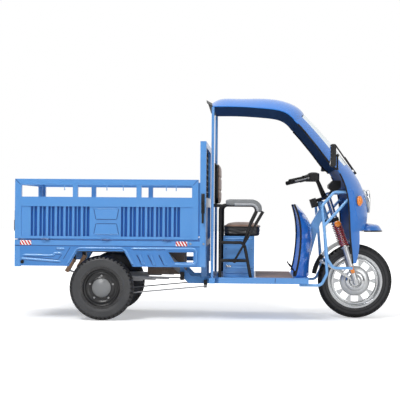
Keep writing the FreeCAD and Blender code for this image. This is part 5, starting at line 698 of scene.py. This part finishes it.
# Shells and their trim
CREASE = ((1.100, 0.988), (1.103, 1.006), (1.114, 1.016), (1.128, 1.008), (1.138, 0.982), (1.142, 0.945),
          (1.146, 0.900), (1.153, 0.855), (1.166, 0.806), (1.179, 0.752))
BEAK_ROOT, BEAK_SWEEP = 1.264, 0.027
BEAK_OUTLINE = ((0, 1), (0.35, 0.93), (0.66, 0.83), (0.76, 0.76), (0.84, 0.62), (0.90, 0.42), (0.96, 0.25),
                (1, 0.16), (1, 0), (0.5, 0), (0, 0), (0, 0.5))


def edge_line(node, sign, low, high):
    """The rear edge of a shell, read from its own corners: the outermost and rearmost in each step of
    height, with a fifth-order line through them, fitted again without the corners that lie ahead of it."""
    line = coordinates(nodes[node].data)
    line = line[(line[:, 2] > low) & (line[:, 2] < high)]
    step = np.round(line[:, 2] / 0.012)
    rank = 2 * sign * line[:, 1] - line[:, 0]
    line = np.array([line[step == k][np.argmax(rank[step == k])] for k in np.unique(step)])
    for _ in range(3):
        fits = [np.polyfit(line[:, 2], line[:, k], 5) for k in (0, 1)]
        ahead = line[:, 0] - np.polyval(fits[0], line[:, 2])
        if (ahead < 0.004).sum() < 12:
            break
        line = line[ahead < 0.004]
    tall = np.linspace(line[:, 2].min(), line[:, 2].max(), 70)
    return np.column_stack([np.polyval(fits[0], tall), np.polyval(fits[1], tall), tall])


def on_shell(node, sign, line):
    """Places and outward directions on a shell's side, where lines along the width through (x, z) points
    first meet it."""
    corners = [Vector(corner) for corner in coordinates(nodes[node].data)]
    faces = [tuple(face.vertices) for face in nodes[node].data.polygons]
    shell = BVHTree.FromPolygons(corners, faces)
    hits = [shell.ray_cast(Vector((x, sign, z)), Vector((0, -sign, 0)))[:2] for x, z in line]
    spots, ways = (np.array([hit[k] for hit in hits]) for k in (0, 1))
    return spots, ways * np.sign(ways[:, 1:2] * sign)


def dress_shells():
    """The crease round the lamp's swelling on the fairing, a low ellipse carried along the shell, and the
    beak: each section along the width keeps the same outline, flat on top and rounded down at the front,
    while its reach and its height shrink towards the sides as roots of one minus a power of the share of
    the width."""
    line = curve([(x, 0, z) for x, z in CREASE], 60)[:, (0, 2)]
    share = np.linspace(0, 1, len(line))
    taper = np.clip(np.minimum(share, 1 - share) * 8, 0.25, 1)[:, None, None]
    for sign, side in SIDES:
        spots, out = on_shell("fairing", sign, line)
        way = np.gradient(spots, axis=0)
        way /= np.linalg.norm(way, axis=1, keepdims=True)
        flat = ring(0.010, 14, 2.0, 0.0035) * taper
        points = spots[:, None] + np.cross(out, way)[:, None] * flat[..., :1] + out[:, None] * flat[..., 1:]
        piece("fairing_crease_" + side, points, shell_blue, "chassis", wrap=(False, True),
              caps=(True, True))
    low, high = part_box("nose_beak")
    across = np.linspace(-1, 1, 61)[:, None]
    reach, tall = (np.maximum(1 - np.abs(across) ** 2.6, 0) ** power for power in (0.5, 0.3))
    root = BEAK_ROOT - BEAK_SWEEP * across ** 2
    along, rise = np.asarray(BEAK_OUTLINE).T
    points = np.stack([root + (high[0] - BEAK_ROOT) * reach * along, high[1] * across + 0 * along,
                       low[2] + (high[2] - low[2]) * tall * rise], axis=-1)
    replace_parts(piece("beak_shell", points, beak_blue, "chassis", wrap=(False, True)),
                "nose_beak")


def dress_trim():
    """Dark seals, round bars carried along the shells' own edges."""
    for sign, side in SIDES:
        for name, node, low, high, radius in (
                ("fairing_seal_", "fairing", 0.42, 1.15, 0.006),
                ("pillar_trim_", "canopy", 1.10, 1.52, 0.007),
                ("shield_trim_", "leg_shield", 0.345, 0.90, 0.008)):
            tube(name + side, edge_line(node, sign, low, high), radius, soft_rubber, "chassis")


dress_shells()
dress_trim()


# Reflectors, hooks and bolts
STRIPE_LEAN, STRIPE_PITCH, STRIPE_WIDE = 0.6, 0.0235, 0.0120


def striped():
    """Slanted red and white stripes: a saw wave of x plus z."""
    material = finish("striped_reflector", (0.8, 0.8, 0.8), 0.22, dust=0.03, coat=0.8)
    tree = material.node_tree
    place = add(tree, "ShaderNodeTexCoord").outputs["Object"]
    parts = add(tree, "ShaderNodeSeparateXYZ", links={"Vector": place}).outputs
    along = reckon(tree, "ADD", parts["X"], reckon(tree, "MULTIPLY", parts["Z"], STRIPE_LEAN))
    wave = reckon(tree, "FLOORED_MODULO", along, STRIPE_PITCH)
    red = reckon(tree, "LESS_THAN", wave, STRIPE_WIDE)
    mix = add(tree, "ShaderNodeMix", {6: (0.82, 0.82, 0.82, 1), 7: (0.58, 0.012, 0.014, 1)},
              data_type="RGBA")
    tree.links.new(red, mix.inputs[0])
    tree.links.new(mix.outputs[2], tree.nodes["Principled BSDF"].inputs["Base Color"])
    return material


def ridge(name, line, half, rise, look, body, sign, face):
    """A pressed ridge along a line of (x, z) on a side panel: an ellipse, wide by twice half and proud by
    rise, carried along a smooth curve through the points, with its other half sunk in the sheet."""
    path = curve([(x, sign * face, z) for x, z in line], 12 * len(line))
    way = np.gradient(path, axis=0)
    way /= np.linalg.norm(way, axis=1, keepdims=True)
    side = np.stack([-way[:, 2], 0 * way[:, 0], way[:, 0]], axis=-1)
    along = np.linspace(0, 1, len(path))
    taper = np.clip(np.minimum(along, 1 - along) * len(path) / 2, 0.3, 1)[:, None, None]
    flat = ring(half, 14, 2.0, rise) * taper
    points = path[:, None] + side[:, None] * flat[..., :1] + np.array([0, sign, 0]) * flat[..., 1:]
    return piece(name, points, look, body, wrap=(False, True), caps=(True, True))


RIDGES = {
    "step": ((-1.388, 0.498), (-1.27, 0.497), (-1.160, 0.496), (-1.139, 0.513), (-1.086, 0.514)),
    "long": ((-1.407, 0.472), (-1.25, 0.461), (-1.091, 0.450)),
    "short": ((-1.129, 0.547), (-1.098, 0.547), (-1.065, 0.548)),
    "arch": ((-1.043, 0.432), (-1.005, 0.496), (-0.984, 0.532), (-0.963, 0.550), (-0.90, 0.554),
             (-0.75, 0.554), (-0.66, 0.554), (-0.623, 0.552), (-0.599, 0.536), (-0.57, 0.486),
             (-0.537, 0.429)),
    "window": ((-0.561, 0.553), (-0.40, 0.554), (-0.20, 0.555), (-0.088, 0.555), (-0.063, 0.536),
               (-0.061, 0.50), (-0.063, 0.459), (-0.083, 0.439), (-0.15, 0.437), (-0.233, 0.437)),
}
SEAMS = {
    "step": ((-1.383, 0.488), (-1.25, 0.478), (-1.122, 0.468), (-1.104, 0.482), (-1.086, 0.502)),
    "slant": ((-1.019, 0.565), (-1.048, 0.515), (-1.077, 0.466)),
    "rear_mitre": ((-1.447, 1.078), (-1.427, 1.057), (-1.406, 1.036)),
    "front_mitre": ((-0.049, 1.078), (-0.069, 1.057), (-0.090, 1.036)),
}
PLATE_TOP, PLATE_LOW, PLATE_SIDE = 0.855, 0.661, 0.498
PLATES = (("upper", PLATE_TOP, PLATE_TOP - 0.080), ("lower", PLATE_LOW, PLATE_LOW + 0.080))


def dress_small():
    """Pressed lines of the skirts, seams and plate edges of the gates, striped reflectors and rope hooks:
    each line is a ridge, and each hook a round bar along a smooth bend. The pressed lines and the plates'
    wide edges carry painted highlight on their up-facing sides and painted shade on their down-facing sides;
    the dark plate edges and rib edges are painted shade, and the dark seam lines are seams drawn dark as
    painted shade."""
    stripes = striped()
    for sign, side in SIDES:
        for name, line in RIDGES.items():
            tall = 0.0072 if name in ("arch", "window") else 0.005
            ridge(f"skirt_{name}_{side}", line, 0.0095, tall, bead_painted_light_blue, "chassis", sign,
                  BED_SIDE)
        # Dark seam lines: seams, drawn dark as painted shade.
        for name, line in SEAMS.items():
            body = "gate_" + side if name.endswith("mitre") else "chassis"
            ridge(f"seam_{name}_{side}", line, 0.0022, 0.0008, seam_and_shade_blue, body, sign, BED_SIDE)
        for name, wide, narrow in PLATES:
            # Each plate's wide edge is a pressed line with painted highlight and painted shade; its narrow
            # and slanted edges are dark lines of painted shade.
            for edge, line, look in (("wide", ((-0.843, wide), (-0.748, wide), (-0.653, wide)), bead_painted_light_blue),
                                     ("narrow", ((-0.827, narrow), (-0.748, narrow), (-0.669, narrow)),
                                      seam_and_shade_blue),
                                     ("rear", ((-0.843, wide), (-0.835, (wide + narrow) / 2),
                                               (-0.827, narrow)), seam_and_shade_blue),
                                     ("front", ((-0.653, wide), (-0.661, (wide + narrow) / 2),
                                                (-0.669, narrow)), seam_and_shade_blue)):
                ridge(f"plate_{name}_{edge}_{side}", line, 0.0022, 0.0012, look, "gate_" + side,
                      sign, PLATE_SIDE)
        for number in range(3):
            x = -0.502 + 0.084 * number
            # Each rib has a dark edge line of painted shade beside a crest with painted highlight.
            for part, shift, look in (("edge", -0.012, seam_and_shade_blue), ("crest", 0.010, bead_painted_light_blue)):
                line = ((x + shift, 0.508), (x + shift + 0.021, 0.469), (x + shift + 0.042, 0.430))
                ridge(f"skirt_rib_{part}_{side}_{number}", line, 0.0035, 0.0068, look, "chassis",
                      sign, BED_SIDE)
    for sign, side in SIDES:
        for x, where in ((-1.364, "rear"), (-0.173, "front")):
            lens("reflector_" + where + "_" + side, (x, sign * BED_SIDE, 0.593), (0.088, 0.036, 0.004),
                 stripes, "chassis", 14.0, (0, sign, 0))
    for number, x in enumerate((-1.071, -0.746, -0.621, -0.292, -0.217)):
        bend = curve([(x, 0, 0), (x, 0, -0.02), (x, 0, -0.034), (x, 0.006, -0.041), (x, 0.014, -0.038)], 24)
        tube(f"rope_hook_{number}", bend + (0, -0.486, 1.038), 0.0035, frame_blue, "gate_right",
             (1, 0, 0), 8)


dress_small()


# Front end and springs
LEAF_COUNT, LEAF_THICK, LEAF_SIDE, LEAF_STEP = 5, 0.009, 0.28, 0.17
LEAF_SEAT = 0.288
LEAF_TIPS = ((-0.179, 0.322, "front"), (-1.075, 0.376, "rear"))
COIL_TURNS, COIL_RADIUS, COIL_WIRE, COIL_SIDE = 12, 0.030, 0.0047, 0.095
COIL_LOW, COIL_TALL = 0.2955, 0.171
LEAF_EYE = ((0.0085, -0.025), (0.017, -0.025), (0.017, 0.025), (0.0085, 0.025))
FORK = np.array([[0.951057, 0, 0.309017], [0, 1, 0], [-0.309017, 0, 0.951057]])


def on_fork(ahead, side, along):
    """A place in the fork's own frame, ahead of the legs and along them from the axle, as a place on the
    object."""
    return np.array(FRONT_AXLE) + np.array([ahead, side, along]) @ FORK


def dress_front():
    """Control housings, bar risers, reflectors, signal lenses and mirror faces, each a block, bar or raised
    plate on what carries it, and the mudguard's flap: a channel section turned about the axle."""
    for sign, side in SIDES:
        housing = block((0.792, sign * 0.2 - 0.034, 1.088), (0.884, sign * 0.2 + 0.034, 1.152), 4.0, 0.35,
                        2)
        piece("control_housing_" + side, housing, plastic_black, "steering",
              wrap=(False, True))
        lens("horn_button_" + side, (0.792, sign * 0.2, 1.112), (0.020, 0.020, 0.007), amber, "steering",
             2.0, (-1, 0, 0))
        riser = np.linspace(on_fork(-0.020, sign * 0.045, 0.700), on_fork(-0.045, sign * 0.045, 0.880), 6)
        tube("bar_riser_" + side, riser, 0.013, satin_black, "steering")
        spot = on_fork(0, sign * 0.131, 0.478)
        lens("round_reflector_" + side, spot, (0.05, 0.05, 0.008), amber, "steering", 2.0,
             (0, sign, 0))
        reach = np.linspace(spot - (0, sign * 0.024, 0), spot, 4)
        tube("reflector_stalk_" + side, reach, 0.006, satin_black, "steering", (0, 0, 1))
        lens("fork_reflector_" + side, on_fork(0, sign * 0.117, 0.098), (0.030, 0.056, 0.007), amber,
             "fork_lower", 7.0, (0, sign, 0), FORK[2])
        low, high = (np.asarray(corner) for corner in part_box("turn_signals"))
        ahead = np.array([0.75, sign * 0.66, 0])
        spot = (high[0] - 0.028, sign * (high[1] - 0.018), (low[2] + high[2]) / 2)
        signal = lens("signal_lens_" + side, spot, (0.052, 0.078, 0.030), amber, "chassis", 2.4,
                      ahead / np.linalg.norm(ahead))
        if sign < 0:
            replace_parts(signal, "turn_signals")
        low, high = (np.asarray(corner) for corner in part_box("mirror_" + side))
        middle = (low + high) / 2
        lens("mirror_face_" + side, (low[0], middle[1], middle[2]),
             ((high - low)[1] * 0.84, (high - low)[2] * 0.86, 0.0015),
             mirror_glass, "view_mirror_" + side, 4.0, (-1, 0, 0))
    angle = np.radians(np.linspace(142, 170, 24))[:, None]
    across = np.array([-1, -1, -1, -0.97, -0.8, -0.4, 0, 0.4, 0.8, 0.97, 1, 1, 1]) * 0.0545
    radius = 0.3440 - np.array([0.030, 0.016, 0.006, 0.0015, 0, 0, 0, 0, 0, 0.0015, 0.006, 0.016, 0.030])
    points = np.stack([FRONT_AXLE[0] + radius * np.cos(angle), across + 0 * angle,
                       FRONT_AXLE[2] + radius * np.sin(angle)], axis=-1)
    flap = piece("mudguard_flap", points, soft_rubber, "fork_lower")
    flap.modifiers.new("wall", "SOLIDIFY").thickness = 0.002


dress_front()


def dress_lamp():
    """The headlamp's bright ring, a small ellipse carried round a circle; its face, a shallow dome with
    upright flutes that follow a cosine along the width; and the bulb's shade, a dome in the middle."""
    low, high = (np.asarray(corner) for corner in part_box("headlamp"))
    middle, half = (low + high) / 2, (high - low) / 2
    turn = np.linspace(0, math.tau, 96, endpoint=False)
    wheel = np.stack([0 * turn, np.cos(turn), np.sin(turn)], axis=-1)
    rim = wheel * (half[1] - 0.006) + (high[0] - 0.012, middle[1], middle[2])
    out = np.array([1.0, 0, 0])
    flat = ring(0.006, 12, 2.0, 0.011)
    points = rim[:, None] + wheel[:, None] * flat[..., :1] + out * flat[..., 1:]
    piece("lamp_ring", points, polished, "chassis", wrap=(True, True))
    share = np.concatenate([[1.0], np.linspace(1, 0, 24)])[:, None, None]
    face = wheel * (half[1] - 0.009) * share
    flutes = 0.0012 * np.cos(face[..., 1] / 0.0035) * (share[..., 0] < 0.96)
    dome = 0.010 * (1 - share[..., 0] ** 2) + flutes
    dome[0] = -0.008
    face = face + (high[0] - 0.008, middle[1], middle[2]) + dome[..., None] * out
    piece("lamp_face", face, lamp_glass, "chassis", wrap=(False, True), caps=(True, False))
    lens("lamp_shade", (high[0], middle[1], middle[2]), (0.034, 0.034, 0.006), polished, "chassis",
         2.0, (1, 0, 0))


dress_lamp()


def dress_springs():
    """A fork spring is a round wire on a helix from the slider's seat to the cap. A leaf spring is a stack of
    flat bars on each side of the axle clamp, each rising to its tip by the square of the distance, with an
    eye rolled at the end of the longest."""
    along = np.linspace(0, 1, 400)
    turn = math.tau * COIL_TURNS * along
    for sign, side in SIDES:
        helix = np.stack([COIL_RADIUS * np.cos(turn), sign * COIL_SIDE + COIL_RADIUS * np.sin(turn),
                          COIL_LOW + COIL_TALL * along], axis=-1)
        path = np.array(FRONT_AXLE) + helix @ FORK
        coil = tube("fork_coil_" + side, path, COIL_WIRE, spring_red, None, FORK[2], 10)
        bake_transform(coil)
        if sign < 0:
            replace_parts(coil, "fork_springs")
        bar = ring(0.025, 28, 9.0, LEAF_THICK / 2)
        axle = REAR_AXLE[0]
        for tip, tip_z, end in LEAF_TIPS:
            for number in range(LEAF_COUNT):
                above = LEAF_COUNT - 1 - number
                low = LEAF_SEAT + (number + 0.5) * LEAF_THICK
                rise = tip_z - low - LEAF_THICK * above
                share = np.linspace(0, 1 - LEAF_STEP * above, 40)
                gone = np.clip((share - 0.10) / 0.90, 0, 1)
                line = np.column_stack([axle + (tip - axle) * share, np.full(40, sign * LEAF_SIDE),
                                        low + rise * gone ** 2])
                leaf = piece(f"leaf_{end}_{side}_{number}", swept(line, bar, (0, 1, 0)), steel, None,
                             wrap=(False, True), caps=(True, True))
                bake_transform(leaf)
                if sign < 0 and end == "front" and number == 0:
                    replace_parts(leaf, "leaf_springs")
            turned(f"leaf_eye_{end}_{side}", (tip, sign * LEAF_SIDE, tip_z), LEAF_EYE, sign, steel,
                   "chassis")


dress_springs()


def dress_cab():
    """The seat box's catch and ribs, the floor's seam, the posts' bolts and the skirts' plugs."""
    lens("box_catch", (0.181, -0.3325, 0.417), (0.040, 0.016, 0.008), polished, "chassis", 5.0,
         (0, -1, 0))
    for sign, side in SIDES:
        # The ribs' finish carries painted highlight and painted shade.
        for number, z in enumerate((0.367, 0.406, 0.556, 0.628)):
            line = ((0.150, z), (0.25, z), (0.370, z))
            ridge(f"box_rib_{side}_{number}", line, 0.006, 0.004, bead_painted_light_blue, "chassis", sign,
                  BOX_SIDE)
        ridge("floor_seam_" + side, ((0.538, 0.300), (0.539, 0.318), (0.540, 0.336)), 0.003, 0.001,
              seam_and_shade_blue, "chassis", sign, CAB_SIDE)
        for number, x in enumerate((-0.105, -0.006)):
            bolt(f"post_bolt_{side}_{number}", (x, sign * BED_SIDE, 0.594), (0, sign, 0), 0.009, steel,
                 "chassis")
        lens("skirt_plug_" + side, (-1.389, sign * BED_SIDE, 0.447), (0.027, 0.027, 0.010), soft_rubber,
             "chassis", 2.0, (0, sign, 0))


dress_cab()


# Stage
FLOOR_HALF, FLOOR_GLOW, FLOOR_WHITE = 30, 0.36, (2.0, 4.0)
ROOM_LIGHT = 0.42
LAMPS = (("key", (-2.6, -5.5, 6.5), (-0.1, 0, 0.6), 3.0, 450.0),
         ("fill", (4.5, -6.0, 2.5), (0.6, 0, 0.7), 4.0, 140.0),
         ("top", (0.4, 0.6, 6.5), (0, 0, 0.8), 4.0, 165.0))
CAMERA_SPOT = (0.343, -8.6, 0.874)
CAMERA_FRAME, CAMERA_FOCUS, CAMERA_OFF, CAMERA_ROLL = 400, 1071.0, (50, 7), 0.0075
FILM_WIDE = 36.0


def stage():
    """A pale floor that keeps the shadow, a white background, and a studio that is darker behind the
    camera."""
    ground = bpy.data.meshes.new("ground")
    corners = [(x * FLOOR_HALF, y * FLOOR_HALF, 0) for x, y in ((-1, -1), (1, -1), (1, 1), (-1, 1))]
    ground.from_pydata(corners, [], [(0, 1, 2, 3)])
    floor = bpy.data.objects.new("ground", ground)
    scene.collection.objects.link(floor)
    look = bpy.data.materials.new("pale_floor")
    look.use_nodes = True
    tree = look.node_tree
    shader = tree.nodes["Principled BSDF"]
    shader.inputs["Base Color"].default_value = (0.93, 0.93, 0.93, 1)
    shader.inputs["Roughness"].default_value = 0.9
    shader.inputs["Specular IOR Level"].default_value = 0.0
    shader.inputs["Emission Color"].default_value = (1, 1, 1, 1)
    seen = add(tree, "ShaderNodeLightPath").outputs["Is Camera Ray"]
    place = add(tree, "ShaderNodeTexCoord").outputs["Object"]
    far = add(tree, "ShaderNodeVectorMath", links={0: place}, operation="LENGTH").outputs["Value"]
    level = add(tree, "ShaderNodeMapRange",
                {"From Min": FLOOR_WHITE[0], "From Max": FLOOR_WHITE[1], "To Min": FLOOR_GLOW,
                 "To Max": 1.0},
                {"Value": far})
    tree.links.new(reckon(tree, "MULTIPLY", seen, level.outputs[0]), shader.inputs["Emission Strength"])
    ground.materials.append(look)
    world = bpy.data.worlds.new("studio")
    scene.world = world
    world.use_nodes = True
    tree = world.node_tree
    back = tree.nodes["Background"]
    path = add(tree, "ShaderNodeLightPath").outputs
    clear_ways = reckon(tree, "MAXIMUM", path["Is Camera Ray"], path["Is Transmission Ray"])
    seen = reckon(tree, "MAXIMUM", clear_ways, path["Is Glossy Ray"])
    power = add(tree, "ShaderNodeMapRange", {"To Min": ROOM_LIGHT, "To Max": 1.0}, {"Value": seen})
    tree.links.new(power.outputs[0], back.inputs["Strength"])
    way = add(tree, "ShaderNodeTexCoord").outputs["Generated"]
    parts = add(tree, "ShaderNodeSeparateXYZ", links={"Vector": way}).outputs
    backdrop = add(tree, "ShaderNodeMapRange", {"From Min": -0.15, "From Max": 0.25},
                   {"Value": parts["Y"]}).outputs[0]
    ceiling = add(tree, "ShaderNodeMapRange",
                  {"From Min": -0.1, "From Max": 0.9, "To Min": 0.14, "To Max": 0.7},
                  {"Value": parts["Z"]}).outputs[0]
    tree.links.new(reckon(tree, "MAXIMUM", backdrop, ceiling), back.inputs["Color"])
    for name, spot, aim, size, watts in LAMPS:
        lamp = bpy.data.lights.new(name, "AREA")
        lamp.size = size
        lamp.energy = watts
        holder = bpy.data.objects.new(name, lamp)
        holder.location = spot
        holder.rotation_euler = (Vector(aim) - Vector(spot)).to_track_quat("-Z", "Y").to_euler()
        scene.collection.objects.link(holder)


def aim_camera():
    """The photograph's view: the width lines meet off the frame's middle, so the camera turns and tips by
    the angles of that offset, and rolls a little."""
    lens_data = bpy.data.cameras.new("camera")
    lens_data.sensor_width = FILM_WIDE
    lens_data.lens = CAMERA_FOCUS / CAMERA_FRAME * FILM_WIDE
    holder = bpy.data.objects.new("camera", lens_data)
    yaw, pitch = (math.atan(off / CAMERA_FOCUS) for off in CAMERA_OFF)
    forward = Vector((-math.sin(yaw), math.cos(yaw), math.tan(pitch))).normalized()
    right = forward.cross(Vector((0, 0, 1))).normalized()
    up = right.cross(forward)
    tilted = right * math.cos(CAMERA_ROLL) + up * math.sin(CAMERA_ROLL)
    above = tilted.cross(forward)
    turn = Matrix((tilted, above, -forward)).transposed().to_4x4()
    holder.matrix_world = Matrix.Translation(CAMERA_SPOT) @ turn
    scene.collection.objects.link(holder)
    scene.camera = holder


stage()
aim_camera()
